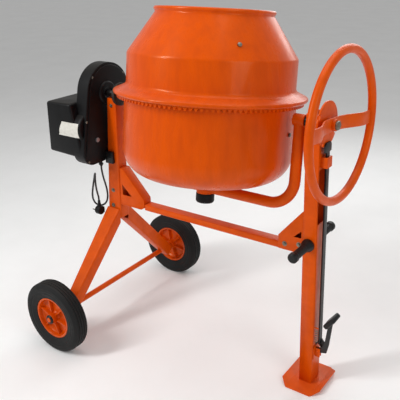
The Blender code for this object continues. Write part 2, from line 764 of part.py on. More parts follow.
def cord_group():
    """The lead, its gland, the clip on the post and the angled plug."""
    low = CORD_ROUTE[0][2] + GAP
    inside = CASE_LOW_Z - CASE_LOW_R + 0.016
    profile = [(0, inside), (GLAND_R, inside), (GLAND_R, GLAND[2] + 0.002)]
    profile += [(0.0095, GLAND[2] + 0.002), (0.0095, GLAND[2] - 0.004), (0.0055, low), (0, low)]
    gland = turned("cord_gland", profile, BLACK_PLASTIC, None, 16, closed=False)
    gland.location = (GLAND[0], GLAND[1], 0)
    tube("cord", smooth_route(CORD_ROUTE, CORD_POINTS), CORD_R, RUBBER)

    end = Vector(CORD_ROUTE[-1])
    top = end.z - GAP
    neck = turned("plug", [(0, top), (0.0055, top), (0.009, top - 0.022), (0.009, top - 0.034),
                           (0, top - 0.034)], BLACK_PLASTIC, None, 16, closed=False)
    neck.location = (end.x, end.y, 0)
    body_z = top - 0.042
    join(neck, rod("plug_body", 0.0185, (end.x - 0.013, end.y, body_z),
                   (end.x + 0.013, end.y, body_z), None, None, 20))
    for side in (-1, 1):
        join(neck, rod(f"plug_pin_{side}", 0.0024, (end.x - 0.031, end.y + side * 0.0095, body_z),
                       (end.x - 0.010, end.y + side * 0.0095, body_z), None, None, 8))

    face = -POST_D / 2 - GAP
    box("cable_clip", (0.040, 0.014, 0.050), (CLIP_X, face - 0.007, CLIP_Z),
        BLACK_PLASTIC, None, 0.003)


def switch():
    """An on and off switch on the motor cover's end."""
    face = CASE_BACK - GAP - COVER_REACH
    middle = (MOTOR_Y + 0.002, MOTOR_Z + 0.012)
    depth, hole_r, travel = 0.016, 0.0085, 0.003
    holes = [circle((middle[0], middle[1] + side * 0.0125), hole_r) for side in (-1, 1)]
    shell = as_mesh(outline("switch_body", [oblong((middle[0] - 0.017, middle[1] - 0.028),
                            (middle[0] + 0.017, middle[1] + 0.028)), *holes], depth - 0.003,
                            (face - GAP - 0.003 - (depth - 0.003) / 2, 0, 0), "X", BLACK_PLASTIC))
    join(shell, box("switch_base", (0.0035, 0.034, 0.056),
                    (face - GAP - 0.00175, middle[0], middle[1])))
    for name, side, finish in (("start_button", 1, GREEN), ("stop_button", -1, RED)):
        inner = face - GAP - 0.0035 - travel - GAP
        rod(name, hole_r - GAP, (inner, middle[0], middle[1] + side * 0.0125),
            (face - GAP - depth - 0.002, middle[0], middle[1] + side * 0.0125), finish)


# ---- Yoke, tilt wheel and lock disc --------------------------------------------------------
def yoke(axis):
    """A bent tube with a sleeve on each arm and a boss for the spindle."""
    bend_x, bend_h = ARM_X - YOKE_BEND_R, YOKE_LOW_H + YOKE_BEND_R
    half = [(x, h) for x, h in arc((bend_x, bend_h), YOKE_BEND_R, 0, -90, 7)]
    right = [(ARM_X, 0.0), *half]
    route = [(-x, 0.0, h) for x, h in right] + [(x, 0.0, h) for x, h in reversed(right)]
    frame = as_mesh(tube("yoke", route, YOKE_TUBE_R, ORANGE, axis, 3))
    for side in (-1, 1):
        ends = [(side * ARM_X + way * SLEEVE_LENGTH / 2, 0, 0) for way in (-1, 1)]
        join(frame, rod(f"sleeve_{side}", SLEEVE_R, *ends, None, axis))
    join(frame, rod("boss", BOSS_R, (0, 0, BOSS_LOW_H), (0, 0, BOWL_BOTTOM - 0.0045), None, axis))
    cut(frame, rod("spindle_bore", SPINDLE_R + GAP, (0, 0, BOSS_LOW_H - 0.01),
                   (0, 0, BOWL_BOTTOM + 0.01), None, axis))
    for side in (-1, 1):
        ends = [(side * ARM_X + way * SLEEVE_LENGTH, 0, 0) for way in (-1, 1)]
        cut(frame, rod(f"sleeve_bore_{side}", SHAFT_R + GAP, *ends, None, axis))

    under = BOSS_LOW_H - GAP
    collar = BOWL_BOTTOM - 0.0045 + GAP
    profile = [(0, BOWL_BOTTOM + 0.051), (SPINDLE_R, BOWL_BOTTOM + 0.051)]
    profile += [(SPINDLE_R, BOWL_BOTTOM - 0.0013), (0.022, BOWL_BOTTOM - 0.0013)]
    profile += [(0.022, collar), (SPINDLE_R, collar), (SPINDLE_R, under), (0.019, under)]
    profile += [(0.019, under - 0.015), (SPINDLE_R, under - 0.015), (SPINDLE_R, under - 0.024)]
    profile += [(0, under - 0.024)]
    turned("spindle", profile, STEEL, axis, 20, closed=False)

    profile = [(0, CAP_LOW_H + SHEET), (CAP_R - 0.0035, CAP_LOW_H + SHEET)]
    profile += [(CAP_R - 0.0035, under), (CAP_R - 0.0005, under), (CAP_R, CAP_LOW_H + 0.004)]
    profile += [(CAP_R - 0.003, CAP_LOW_H), (0, CAP_LOW_H)]
    turned("spindle_cap", profile, BLACK_PLASTIC, axis, 24, closed=False)


def tilt_shaft_group(axis):
    sleeve_end = ARM_X + SLEEVE_LENGTH / 2
    end = WHEEL_HUB_X - DRUM_X + 0.020
    rod("tilt_shaft", SHAFT_R, (ARM_X - SLEEVE_LENGTH / 2, 0, 0), (end, 0, 0), STEEL, axis)
    bearing_start = -DRUM_X - COLUMN_FACE - BEARING_PROUD
    spacer = turned("tilt_spacer", [(0.0155, 0), (0.0155, sleeve_end - bearing_start + 2 * GAP),
                                    (SHAFT_R + GAP, sleeve_end - bearing_start + 2 * GAP),
                                    (SHAFT_R + GAP, 0)], RUBBER, axis, 20)
    spacer.rotation_euler = (0, math.pi / 2, 0)
    spacer.location = (bearing_start - GAP, 0, 0)

    points = []
    half_turn = math.asin(NOTCH_WIDTH / 2 / DISC_R)
    for here, after in zip(NOTCH_ANGLES, NOTCH_ANGLES[1:] + [NOTCH_ANGLES[0] + 2 * math.pi]):
        radial = Vector((math.cos(here), math.sin(here)))
        across = Vector((-radial.y, radial.x)) * NOTCH_WIDTH / 2
        depth = radial * (DISC_R - NOTCH_DEPTH)
        points += [tuple(depth - across), tuple(depth + across)]
        start, end_angle = math.degrees(here + half_turn), math.degrees(after - half_turn)
        points += arc((0, 0), DISC_R, start, end_angle, max(4, round((end_angle - start) / 9)))
    # each notch starts on the arc that the last one left
    points = points[-1:] + points[:-1]
    outline("lock_disc", [points, circle((0, 0), SHAFT_R + GAP)], DISC_THICK,
            (DISC_X - DRUM_X, 0, 0), "X", ORANGE, axis)


def tilt_wheel(axis):
    """A tube ring on a bent strap, with a hub that sits on the tilt shaft."""
    ring_x, hub_x = WHEEL_RING_X - DRUM_X, WHEEL_HUB_X - DRUM_X
    points = [(ring_x, y, h) for y, h in circle((0, 0), WHEEL_RING_R, 48)]
    wheel = as_mesh(tube("tilt_wheel", points, WHEEL_TUBE_R, ORANGE, axis, 2, closed=True))

    def strap_x(y):
        share = min(max((abs(y) - 0.045) / 0.13, 0.0), 1.0)
        return hub_x + (ring_x - hub_x) * share * share * (3 - 2 * share)

    stops = [WHEEL_RING_R * i / 9 for i in range(-9, 10)]
    near = [(strap_x(y) - STRAP_THICK / 2, y) for y in stops]
    far = [(strap_x(y) + STRAP_THICK / 2, y) for y in reversed(stops)]
    join(wheel, outline("strap", [near + far], STRAP_HEIGHT, (0, 0, 0), "Z", None, axis))
    join(wheel, rod("wheel_hub", WHEEL_HUB_R, (hub_x - 0.013, 0, 0), (hub_x + 0.013, 0, 0),
                    None, axis))
    cut(wheel, rod("wheel_bore", SHAFT_R + GAP, (hub_x - 0.04, 0, 0), (hub_x + 0.04, 0, 0),
                   None, axis))
    wheel.rotation_euler = (WHEEL_TURN, 0, 0)


# ---- Column, handles, lock rod and pedal ---------------------------------------------------
BEARING_PROUD = 0.002
BEARING_R = 0.016


def column():
    foot = FOOT_THICK + GAP
    height = COLUMN_TOP - foot
    wall = SHEET
    loops = [oblong((-COLUMN_W / 2, -COLUMN_D / 2), (COLUMN_W / 2, COLUMN_D / 2)),
             oblong((-COLUMN_W / 2 + wall, -COLUMN_D / 2 + wall),
                    (COLUMN_W / 2 - wall, COLUMN_D / 2 - wall))]
    post = as_mesh(outline("column", loops, height, (0, 0, foot + height / 2), "Z", ORANGE))
    cut(post, rod("bearing_hole", BEARING_R + GAP, (-0.05, 0, TILT_Z), (0.05, 0, TILT_Z)))
    cut(post, rod("handle_hole", HANDLE_R + GAP, (HANDLE_X, -0.05, HANDLE_Z),
                  (HANDLE_X, 0.05, HANDLE_Z), sides=16))
    cut(post, box("window", (0.02, COLUMN_D - 0.014, WINDOW_HIGH - WINDOW_LOW),
                  (COLUMN_FACE, 0, (WINDOW_LOW + WINDOW_HIGH) / 2)))
    join(post, rod("spring_stud", 0.003, (COLUMN_FACE - 0.001, SPRING_Y, SPRING_TOP),
                   (SPRING_X + SPRING_R + 0.002, SPRING_Y, SPRING_TOP), sides=10))

    end = COLUMN_FACE + BEARING_PROUD
    bush = turned("tilt_bearing", [(BEARING_R, end), (BEARING_R, -end), (SHAFT_R + 2 * GAP, -end),
                                   (SHAFT_R + 2 * GAP, end)], STEEL, None, 20)
    bush.location = (0, 0, TILT_Z)
    bush.rotation_euler = (0, math.pi / 2, 0)


HANDLE_X = -0.003


def handles():
    rod("handle_bar", HANDLE_R, (HANDLE_X, -HANDLE_REACH + 0.006, HANDLE_Z),
        (HANDLE_X, HANDLE_REACH - 0.006, HANDLE_Z), STEEL, None, 16)
    start = COLUMN_D / 2 + GAP
    end = HANDLE_REACH
    bore = HANDLE_R + GAP
    profile = [(0, end), (GRIP_R, end), (GRIP_R + 0.004, end - 0.004), (GRIP_R + 0.004, end - 0.02)]
    profile += [(GRIP_R, end - 0.026), (GRIP_R, start + 0.034), (GRIP_R + 0.009, start + 0.010)]
    profile += [(GRIP_R + 0.009, start), (bore, start), (bore, end - 0.0055), (0, end - 0.0055)]
    for name, turn in (("grip_front", math.pi / 2), ("grip_rear", -math.pi / 2)):
        grip = turned(name, profile, RUBBER, None, 20, closed=False)
        grip.location = (HANDLE_X, 0, HANDLE_Z)
        grip.rotation_euler = (turn, 0, 0)


def foot_plate():
    """A flat sole with both long edges turned up and its corners cut."""
    flat, wide, rise, thick = FOOT_FLAT, FOOT_EDGE, FOOT_RISE, FOOT_THICK
    section = [(-flat, 0), (flat, 0), (wide, rise), (wide - 0.002, rise + thick),
               (flat - 0.002, thick), (-flat + 0.002, thick), (-wide + 0.002, rise + thick),
               (-wide, rise)]
    plate = as_mesh(outline("foot_plate", [section], FOOT_LENGTH, (0, 0, 0), "Y", ORANGE))
    for sx in (-1, 1):
        for sy in (-1, 1):
            corner = box(f"foot_corner_{sx}_{sy}", (FOOT_CORNER, FOOT_CORNER, 0.1),
                         (sx * FOOT_EDGE, sy * FOOT_LENGTH / 2, 0))
            corner.rotation_euler = (0, 0, math.pi / 4)
            cut(plate, corner)


CRANK_PIN_R = 0.003
LUG_Y = 0.0045
SPRING_Y = -0.020
SPRING_X = COLUMN_FACE + 0.009
SPRING_R = 0.0050
SPRING_WIRE = 0.0008
SPRING_TOP = 0.236
SPRING_FOOT = 0.176


def lock_rod():
    """A flat bar with a toothed head that rides on the lock disc's rim."""
    half, wide = ROD_WIDE / 2, HEAD_WIDE / 2
    shape = [(-half, ROD_FOOT_Z), (half, ROD_FOOT_Z), (half, HEAD_Z), (wide, HEAD_Z + 0.003)]
    shape += [(wide, HEAD_TOP - 0.008), (wide - 0.008, HEAD_TOP), (-wide + 0.008, HEAD_TOP)]
    shape += [(-wide, HEAD_TOP - 0.008), (-wide, HEAD_Z + 0.003), (-half, HEAD_Z)]
    bar = as_mesh(outline("lock_rod", [shape], ROD_THICK, (ROD_X, 0, 0), "X", BLACK_STEEL))
    tooth_top = DISC_LOW - 0.0005
    tooth_back = DISC_X - DISC_THICK / 2
    tooth = box("tooth", (ROD_X - tooth_back, 0.014, tooth_top - HEAD_Z + 0.004),
                ((ROD_X + tooth_back) / 2, 0, (tooth_top + HEAD_Z + 0.004 - 0.008) / 2))
    join(bar, tooth)
    pin_x = PIVOT_X + CRANK * math.cos(CRANK_ANGLE)
    pin_z = PIVOT_Z + CRANK * math.sin(CRANK_ANGLE)
    slot = CRANK_PIN_R + 0.0008
    inner = ROD_X - ROD_THICK / 2
    lug = [(inner + 0.0005, ROD_FOOT_Z - 0.012), (pin_x - 0.008, pin_z - 0.008),
           (pin_x + 0.010, pin_z - 0.008), (pin_x + 0.010, pin_z + 0.012),
           (inner + ROD_THICK - 0.0005, ROD_FOOT_Z + 0.022),
           (inner + 0.0005, ROD_FOOT_Z + 0.022)]
    hole = [(x - 0.0015, z) for x, z in arc((pin_x, pin_z), slot, 90, 270, 7)]
    hole += [(x + 0.0015, z) for x, z in arc((pin_x, pin_z), slot, -90, 90, 7)]
    join(bar, outline("rod_lug", [lug, hole], 0.005, (0, LUG_Y, 0), "Y"))
    join(bar, rod("spring_hook", 0.0022, (SPRING_X, LUG_Y, SPRING_FOOT - SPRING_WIRE - 0.0022),
                  (SPRING_X, SPRING_Y - 0.003, SPRING_FOOT - SPRING_WIRE - 0.0022), None, None, 8))
    join(bar, box("hook_root", (0.008, 0.005, 0.010), (SPRING_X + 0.002, LUG_Y - 0.001,
                                                      SPRING_FOOT - SPRING_WIRE - 0.0022)))

    face = COLUMN_FACE + GAP
    out = ROD_X + ROD_THICK / 2 + 0.006
    slack = 0.0005
    ring = [oblong((face, -0.018), (out, 0.018)),
            oblong((ROD_X - ROD_THICK / 2 - slack, -half - slack),
                   (ROD_X + ROD_THICK / 2 + slack, half + slack))]
    outline("lock_guide", ring, GUIDE_HIGH - GUIDE_LOW, (0, 0, (GUIDE_LOW + GUIDE_HIGH) / 2), "Z",
            ORANGE)


EAR_Y = (-0.0130, -0.0020)
CHEEK_Y = -0.0075
PIN_R = 0.004


def pedal_group():
    """The bracket with its pivot pin, the pedal, its rubber pad and the return spring."""
    face = COLUMN_FACE + GAP
    plate = box("pedal_bracket", (0.003, 0.040, 0.050), (face + 0.0015, -0.006, PIVOT_Z - 0.010),
                ORANGE)
    reach = PIVOT_X + 0.009
    for index, y in enumerate(EAR_Y):
        join(plate, box(f"ear_{index}", (reach - face, 0.003, 0.034),
                        ((reach + face) / 2, y, PIVOT_Z - 0.008)))
    join(plate, rod("pivot_pin", PIN_R, (PIVOT_X, EAR_Y[0] - 0.004, PIVOT_Z),
                    (PIVOT_X, EAR_Y[1] + 0.0015, PIVOT_Z), None, None, 12))

    pin_x = PIVOT_X + CRANK * math.cos(CRANK_ANGLE)
    pin_z = PIVOT_Z + CRANK * math.sin(CRANK_ANGLE)
    arm = arc((PIVOT_X, PIVOT_Z), 0.0085, 250, 75, 7)
    arm = [(PIVOT_X + 0.004, PIVOT_Z + 0.0085), (pin_x - 0.004, pin_z + 0.012),
           (PIVOT_X + 0.0235, 0.180), (PIVOT_X + 0.0355, 0.262), (PIVOT_X + 0.0495, 0.262),
           (PIVOT_X + 0.0395, 0.175), (pin_x + 0.014, pin_z - 0.006),
           (PIVOT_X + 0.004, PIVOT_Z - 0.009), (PIVOT_X - 0.005, PIVOT_Z - 0.008),
           (PIVOT_X - 0.008, PIVOT_Z), (PIVOT_X - 0.005, PIVOT_Z + 0.008)]
    pedal = as_mesh(outline("foot_pedal", [arm, circle((PIVOT_X, PIVOT_Z), PIN_R + GAP, 12)], 0.006,
                            (0, CHEEK_Y, 0), "Y", BLACK_STEEL))
    join(pedal, rod("crank_pin", CRANK_PIN_R, (pin_x, CHEEK_Y, pin_z), (pin_x, LUG_Y + 0.004, pin_z),
                    None, None, 12))
    tread = box("tread", (0.005, 0.046, 0.040), PAD_CENTRE)
    tread.rotation_euler = (0, PAD_TURN, 0)
    join(pedal, tread)

    pad = box("pedal_pad", (0.018, 0.056, 0.052), PAD_CENTRE, RUBBER, None, 0.004)
    pad.rotation_euler = (0, PAD_TURN, 0)
    room = box("tread_room", (0.005 + 2 * GAP, 0.046 + 2 * GAP, 0.060),
               Vector(PAD_CENTRE) + Matrix.Rotation(PAD_TURN, 3, "Y") @ Vector((0, 0, -0.0098)))
    room.rotation_euler = (0, PAD_TURN, 0)
    cut(pad, room)
    cut(pad, box("arm_room", (0.050, 0.006 + 4 * GAP, 0.040),
                 (PAD_CENTRE[0] - 0.004, CHEEK_Y, PAD_CENTRE[2] - 0.016)))

    steps, per_turn = 50, 8
    low, high = SPRING_FOOT + GAP, SPRING_TOP - 0.003 - SPRING_WIRE - GAP
    coil = []
    for i in range(steps + 1):
        angle = 2 * math.pi * (i / per_turn + 0.25)
        coil.append((SPRING_X + SPRING_R * math.cos(angle), SPRING_Y + SPRING_R * math.sin(angle),
                     low + (high - low) * i / steps))
    tube("return_spring", coil, SPRING_WIRE, ZINC, None, 1)


PAD_TURN = math.radians(38)
PAD_CENTRE = (PIVOT_X + 0.0435, -0.002, 0.272)


# ---- Beam, post, legs, axle and road wheels -------------------------------------------------
def post_x(z):
    """The post's centre at a height: it leans outwards at its foot."""
    share = (POST_TOP_Z - z) / (POST_TOP_Z - POST_FOOT_Z)
    return POST_TOP_X + (POST_FOOT_X - POST_TOP_X) * share


def post_half(z):
    share = (POST_TOP_Z - z) / (POST_TOP_Z - POST_FOOT_Z)
    return (POST_TOP_W + (POST_FOOT_W - POST_TOP_W) * share) / 2


def post_face(z):
    return post_x(z) + post_half(z)


def post():
    top, foot = POST_TOP_Z, POST_FOOT_Z
    sides = [(post_x(foot) - post_half(foot), foot), (post_face(foot), foot),
             (post_face(top), top), (post_x(top) - post_half(top), top)]
    piece = as_mesh(outline("post", [sides], POST_D, (0, 0, 0), "Y", ORANGE))
    wall = SHEET
    inner = [(sides[0][0] + wall, foot - 0.02), (sides[1][0] - wall, foot - 0.02),
             (sides[2][0] - wall, top + 0.02), (sides[3][0] + wall, top + 0.02)]
    cut(piece, outline("post_inside", [inner], POST_D - 2 * wall, (0, 0, 0), "Y"))

    start = post_face(TILT_Z - 0.02) + GAP
    end = DRUM_X - ARM_X - SLEEVE_LENGTH / 2 - GAP
    housing = turned("pinion_bearing", [(0.045, start), (0.045, start + 0.012), (0.030, start + 0.016),
                                        (0.030, end), (SHAFT_R + 2 * GAP, end),
                                        (SHAFT_R + 2 * GAP, start)][::-1], IRON, None, 24)
    housing.location = (0, 0, TILT_Z)
    housing.rotation_euler = (0, math.pi / 2, 0)


def beam_and_gussets():
    right = -COLUMN_FACE - GAP
    inner, high = right - COLUMN_STUB, COLUMN_STUB_Z
    shape = [(inner, GUSSET_LOW_Z + 0.005), (right, GUSSET_LOW_Z + 0.005), (right, GUSSET_TOP_Z),
             (right - 0.006, GUSSET_TOP_Z), (inner, high)]
    window = [(right - 0.008, high + 0.006), (right - 0.008, high + 0.032),
              (right - 0.036, high + 0.006)]
    column_side = as_mesh(outline("column_gusset", [shape, window], COLUMN_GUSSET_D, (0, 0, 0),
                                  "Y", ORANGE))
    sole = GUSSET_LOW_Z + 0.005 + SHEET
    room = [(inner + SHEET, sole), (right - SHEET, sole), (right - SHEET, GUSSET_TOP_Z - 0.012),
            (inner + SHEET, high - 0.0015)]
    cut(column_side, outline("column_gusset_room", [room], COLUMN_GUSSET_D - 2 * SHEET, (0, 0, 0),
                             "Y"))

    def left(z):
        return post_face(z) + GAP

    outer, high = left(BEAM_Z) + POST_STUB, POST_STUB_Z
    shape = [(left(GUSSET_LOW_Z), GUSSET_LOW_Z), (outer - 0.018, GUSSET_LOW_Z),
             (outer, GUSSET_LOW_Z + 0.010), (outer, high), (left(GUSSET_TOP_Z) + 0.016, GUSSET_TOP_Z),
             (left(GUSSET_TOP_Z), GUSSET_TOP_Z)]
    window = [(left(high) + 0.012, high), (left(high) + 0.060, high),
              (left(high) + 0.012, high + 0.045)]
    post_side = as_mesh(outline("post_gusset", [shape, window], POST_GUSSET_D, (0, 0, 0), "Y",
                                ORANGE))
    foot_z, top_z = GUSSET_LOW_Z + SHEET, GUSSET_TOP_Z - 0.012
    room = [(left(foot_z) + SHEET, foot_z), (outer - 0.020, foot_z),
            (outer - SHEET, GUSSET_LOW_Z + 0.013), (outer - SHEET, high - 0.002),
            (left(top_z) + 0.010, top_z), (left(top_z) + SHEET, top_z)]
    cut(post_side, outline("post_gusset_room", [room], POST_GUSSET_D - 2 * SHEET, (0, 0, 0), "Y"))
    start, end = outer + GAP, inner - GAP
    middle = ((start + end) / 2, 0, BEAM_Z)
    beam = box("beam", (end - start, BEAM_DEPTH, BEAM_HEIGHT), middle, ORANGE, None, 0.003)
    cut(beam, box("beam_bore", (end - start + 0.02, BEAM_DEPTH - 2 * SHEET,
                                BEAM_HEIGHT - 2 * SHEET), middle))


def leg_turn(along):
    """The turn that points Z down the leg and keeps X level."""
    level = Vector((1, 0, 0))
    across = along.cross(level).normalized()
    level = across.cross(along)
    return Matrix((level, across, along)).transposed().to_quaternion()


def tapered_bar(name, inset, length, finish):
    """A leg's tube or, with an inset, the hollow in it, which runs out at both ends."""
    work = bmesh.new()
    bmesh.ops.create_cube(work, size=1.0)
    for vert in work.verts:
        wide = LEG_TOP_W if vert.co.z < 0 else LEG_FOOT_W
        vert.co.x *= wide - 2 * inset
        vert.co.y *= LEG_D - 2 * inset
        vert.co.z *= length + 4 * inset
    long_edges = [edge for edge in work.edges if edge.calc_length() > length / 2]
    bmesh.ops.bevel(work, geom=long_edges, offset=0.004, segments=1, profile=0.5, affect="EDGES")
    return add(name, mesh_from(name, work), finish)


def leg_and_wheel(name, side):
    """One leg, road wheel and axle cap; side is -1 in front and 1 behind."""
    foot_y = WHEEL_Y - TYRE_W / 2 - 0.038
    top = Vector((LEG_TOP_X, side * LEG_TOP_Y, LEG_TOP_Z))
    foot = Vector((LEG_FOOT_X, side * foot_y, TYRE_R))
    along = (foot - top).normalized()
    length = (foot - top).length + 0.016
    leg = tapered_bar(f"leg_{name}", 0.0, length, ORANGE)
    bore = tapered_bar(f"leg_bore_{name}", SHEET, length, None)
    for bar in (leg, bore):
        bar.location = top + along * length / 2
        bar.rotation_mode = "QUATERNION"
        bar.rotation_quaternion = leg_turn(along)
    cut(leg, bore)
    hidden = box(f"leg_trim_{name}", (0.2, 0.2, 0.3),
                 (AXLE_X, side * (POST_D / 2 + GAP - 0.1), POST_FOOT_Z + 0.05))
    cut(leg, hidden)
    cut(leg, rod(f"axle_hole_{name}", AXLE_R + GAP, (AXLE_X, side * (foot_y - 0.08), TYRE_R),
                 (AXLE_X, side * (foot_y + 0.08), TYRE_R), sides=16))

    half = TYRE_W / 2
    bead_r = RIM_R + GAP
    profile = [(TYRE_R - 0.012, half), (TYRE_R - 0.002, half - 0.012), (TYRE_R, half * 0.3)]
    profile += [(TYRE_R, -half * 0.3), (TYRE_R - 0.002, -half + 0.012), (TYRE_R - 0.012, -half)]
    profile += [(TYRE_R - 0.035, -half), (bead_r, -half + 0.010), (bead_r, half - 0.010)]
    profile += [(TYRE_R - 0.035, half)]
    tyre = turned(f"tyre_{name}", profile, RUBBER, None, 32)
    bore = JOURNAL_R + GAP
    hub = half + 0.001
    profile = [(RIM_R, half - 0.009), (RIM_R, -half + 0.009), (RIM_R - 0.008, -half + 0.009)]
    profile += [(RIM_R - 0.012, -0.004), (0.024, -0.004), (0.021, -hub), (bore, -hub)]
    profile += [(bore, hub), (0.021, hub), (0.024, 0.004), (RIM_R - 0.012, 0.004)]
    profile += [(RIM_R - 0.008, half - 0.009)]
    rim = turned(f"rim_{name}", profile, WHEEL_PLASTIC, None, 32)
    for piece in (tyre, rim):
        piece.location = (AXLE_X, side * WHEEL_Y, TYRE_R)
        piece.rotation_euler = (math.pi / 2, 0, 0)

    out = WHEEL_Y + hub + 2 * GAP
    cap = turned(f"axle_cap_{name}", [(0, out + 0.008), (0.012, out + 0.007), (0.016, out + 0.001),
                                      (0.016, out), (bore, out), (bore, out + 0.004),
                                      (0, out + 0.004)], BLACK_PLASTIC, None, 20, closed=False)
    cap.location = (AXLE_X, 0, TYRE_R)
    cap.rotation_euler = (-side * math.pi / 2, 0, 0)


def axle():
    shoulder = WHEEL_Y - TYRE_W / 2 - 0.001 - 2 * GAP
    end = WHEEL_Y + TYRE_W / 2 + 0.001 + 2 * GAP + 0.0036
    profile = [(0, end), (JOURNAL_R, end), (JOURNAL_R, shoulder), (AXLE_R, shoulder),
               (AXLE_R, -shoulder), (JOURNAL_R, -shoulder), (JOURNAL_R, -end), (0, -end)]
    shaft = turned("axle", profile, ORANGE, None, 16, closed=False)
    shaft.location = (AXLE_X, 0, TYRE_R)
    shaft.rotation_euler = (math.pi / 2, 0, 0)


# ---- The whole mixer ---------------------------------------------------------------------------
clear_scene()
PARTS = new_collection("concrete_mixer")
CUTTERS = new_collection("cutters")
YOKE_AXIS = empty("yoke_axis", (DRUM_X, 0, TILT_Z), (-LEAN, 0, 0))

drum(YOKE_AXIS)
yoke(YOKE_AXIS)
tilt_shaft_group(YOKE_AXIS)
tilt_wheel(YOKE_AXIS)
pinion_group(YOKE_AXIS)
motor_group()
belt_case()
cord_group()
switch()
foot_plate()
column()
handles()
lock_rod()
pedal_group()
post()
beam_and_gussets()
axle()
leg_and_wheel("front", -1)
leg_and_wheel("rear", 1)
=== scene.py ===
"""Looks of a tilting-drum concrete mixer: smooth surfaces and finishes over its CAD frame."""

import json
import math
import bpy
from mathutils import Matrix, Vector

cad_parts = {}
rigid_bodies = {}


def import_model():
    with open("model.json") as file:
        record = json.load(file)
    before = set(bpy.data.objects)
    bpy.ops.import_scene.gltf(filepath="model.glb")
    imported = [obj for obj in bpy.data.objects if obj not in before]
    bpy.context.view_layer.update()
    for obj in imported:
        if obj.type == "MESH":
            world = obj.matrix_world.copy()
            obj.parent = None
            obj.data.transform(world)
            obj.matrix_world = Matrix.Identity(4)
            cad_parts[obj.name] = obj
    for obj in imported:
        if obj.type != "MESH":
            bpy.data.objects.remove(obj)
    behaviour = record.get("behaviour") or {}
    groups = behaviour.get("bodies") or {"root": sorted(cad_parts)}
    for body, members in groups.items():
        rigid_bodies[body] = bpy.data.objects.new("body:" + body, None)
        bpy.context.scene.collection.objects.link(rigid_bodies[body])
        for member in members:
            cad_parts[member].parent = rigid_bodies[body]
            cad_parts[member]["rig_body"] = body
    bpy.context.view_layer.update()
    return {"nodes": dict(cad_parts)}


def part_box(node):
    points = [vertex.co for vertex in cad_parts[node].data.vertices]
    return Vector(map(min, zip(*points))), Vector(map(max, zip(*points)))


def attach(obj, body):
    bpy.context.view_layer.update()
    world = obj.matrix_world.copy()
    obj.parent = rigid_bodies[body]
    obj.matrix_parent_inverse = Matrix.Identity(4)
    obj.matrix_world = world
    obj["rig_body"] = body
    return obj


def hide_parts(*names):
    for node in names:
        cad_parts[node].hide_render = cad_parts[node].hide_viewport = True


bl_info = {
    "name": "Concrete mixer looks",
    "version": (1, 0, 0),
    "blender": (4, 5, 0),
    "location": "3D View > Sidebar > Mixer",
    "description": "Detailed pieces, finishes and a studio for a tilting-drum concrete mixer",
    "category": "Object",
}

import bmesh
import bpy
from bpy.props import FloatProperty, FloatVectorProperty, IntProperty, PointerProperty
from mathutils import Matrix, Vector
from mathutils.bvhtree import BVHTree

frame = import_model()
NODES = frame["nodes"]


# ---- Places that follow from the CAD --------------------------------------------------------
def low(node):
    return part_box(node)[0]


def high(node):
    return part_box(node)[1]


def middle(node):
    return (low(node) + high(node)) / 2


def span(node):
    return high(node) - low(node)


def reach(node):
    """How near to the middle plane a node starts, and how far out it ends."""
    return sorted((abs(low(node).y), abs(high(node).y)))


# At rest the drum's mouth leans this far towards +Y.
LEAN = math.radians(7.9)
# Surfaces that meet keep this gap.
GAP = 0.0003
TILT_Z = middle("tilt_bearing").z
DRUM_X = middle("drum_lower").x
DRUM_AXIS = (Matrix.Translation((DRUM_X, 0, TILT_Z)) @ Matrix.Rotation(-LEAN, 4, "X"))


def along_x(x, y, z):
    """A place whose Z runs along +X."""
    return Matrix.Translation((x, y, z)) @ Matrix.Rotation(math.pi / 2, 4, "Y")


def along_y(x, y, z, way=1):
    """A place whose Z runs along +Y, or -Y where way is -1."""
    return Matrix.Translation((x, y, z)) @ Matrix.Rotation(-way * math.pi / 2, 4, "X")


# ---- Finishes ---------------------------------------------------------------------------------
def linear(code):
    """An sRGB hex colour as the linear values that shaders take."""
    parts = [int(code[i:i + 2], 16) / 255 for i in (1, 3, 5)]
    return tuple(c / 12.92 if c <= 0.04045 else ((c + 0.055) / 1.055) ** 2.4 for c in parts)


def add_node(material, kind, settings=None, links=None):
    """Adds a node. Settings are its attributes or its sockets, and links feed its sockets."""
    tree = material.node_tree
    node = tree.nodes.new(kind)
    for name, value in (settings or {}).items():
        if isinstance(name, str) and hasattr(node, name):
            setattr(node, name, value)
        else:
            node.inputs[name].default_value = value
    for name, source in (links or {}).items():
        tree.links.new(source, node.inputs[name])
    return node


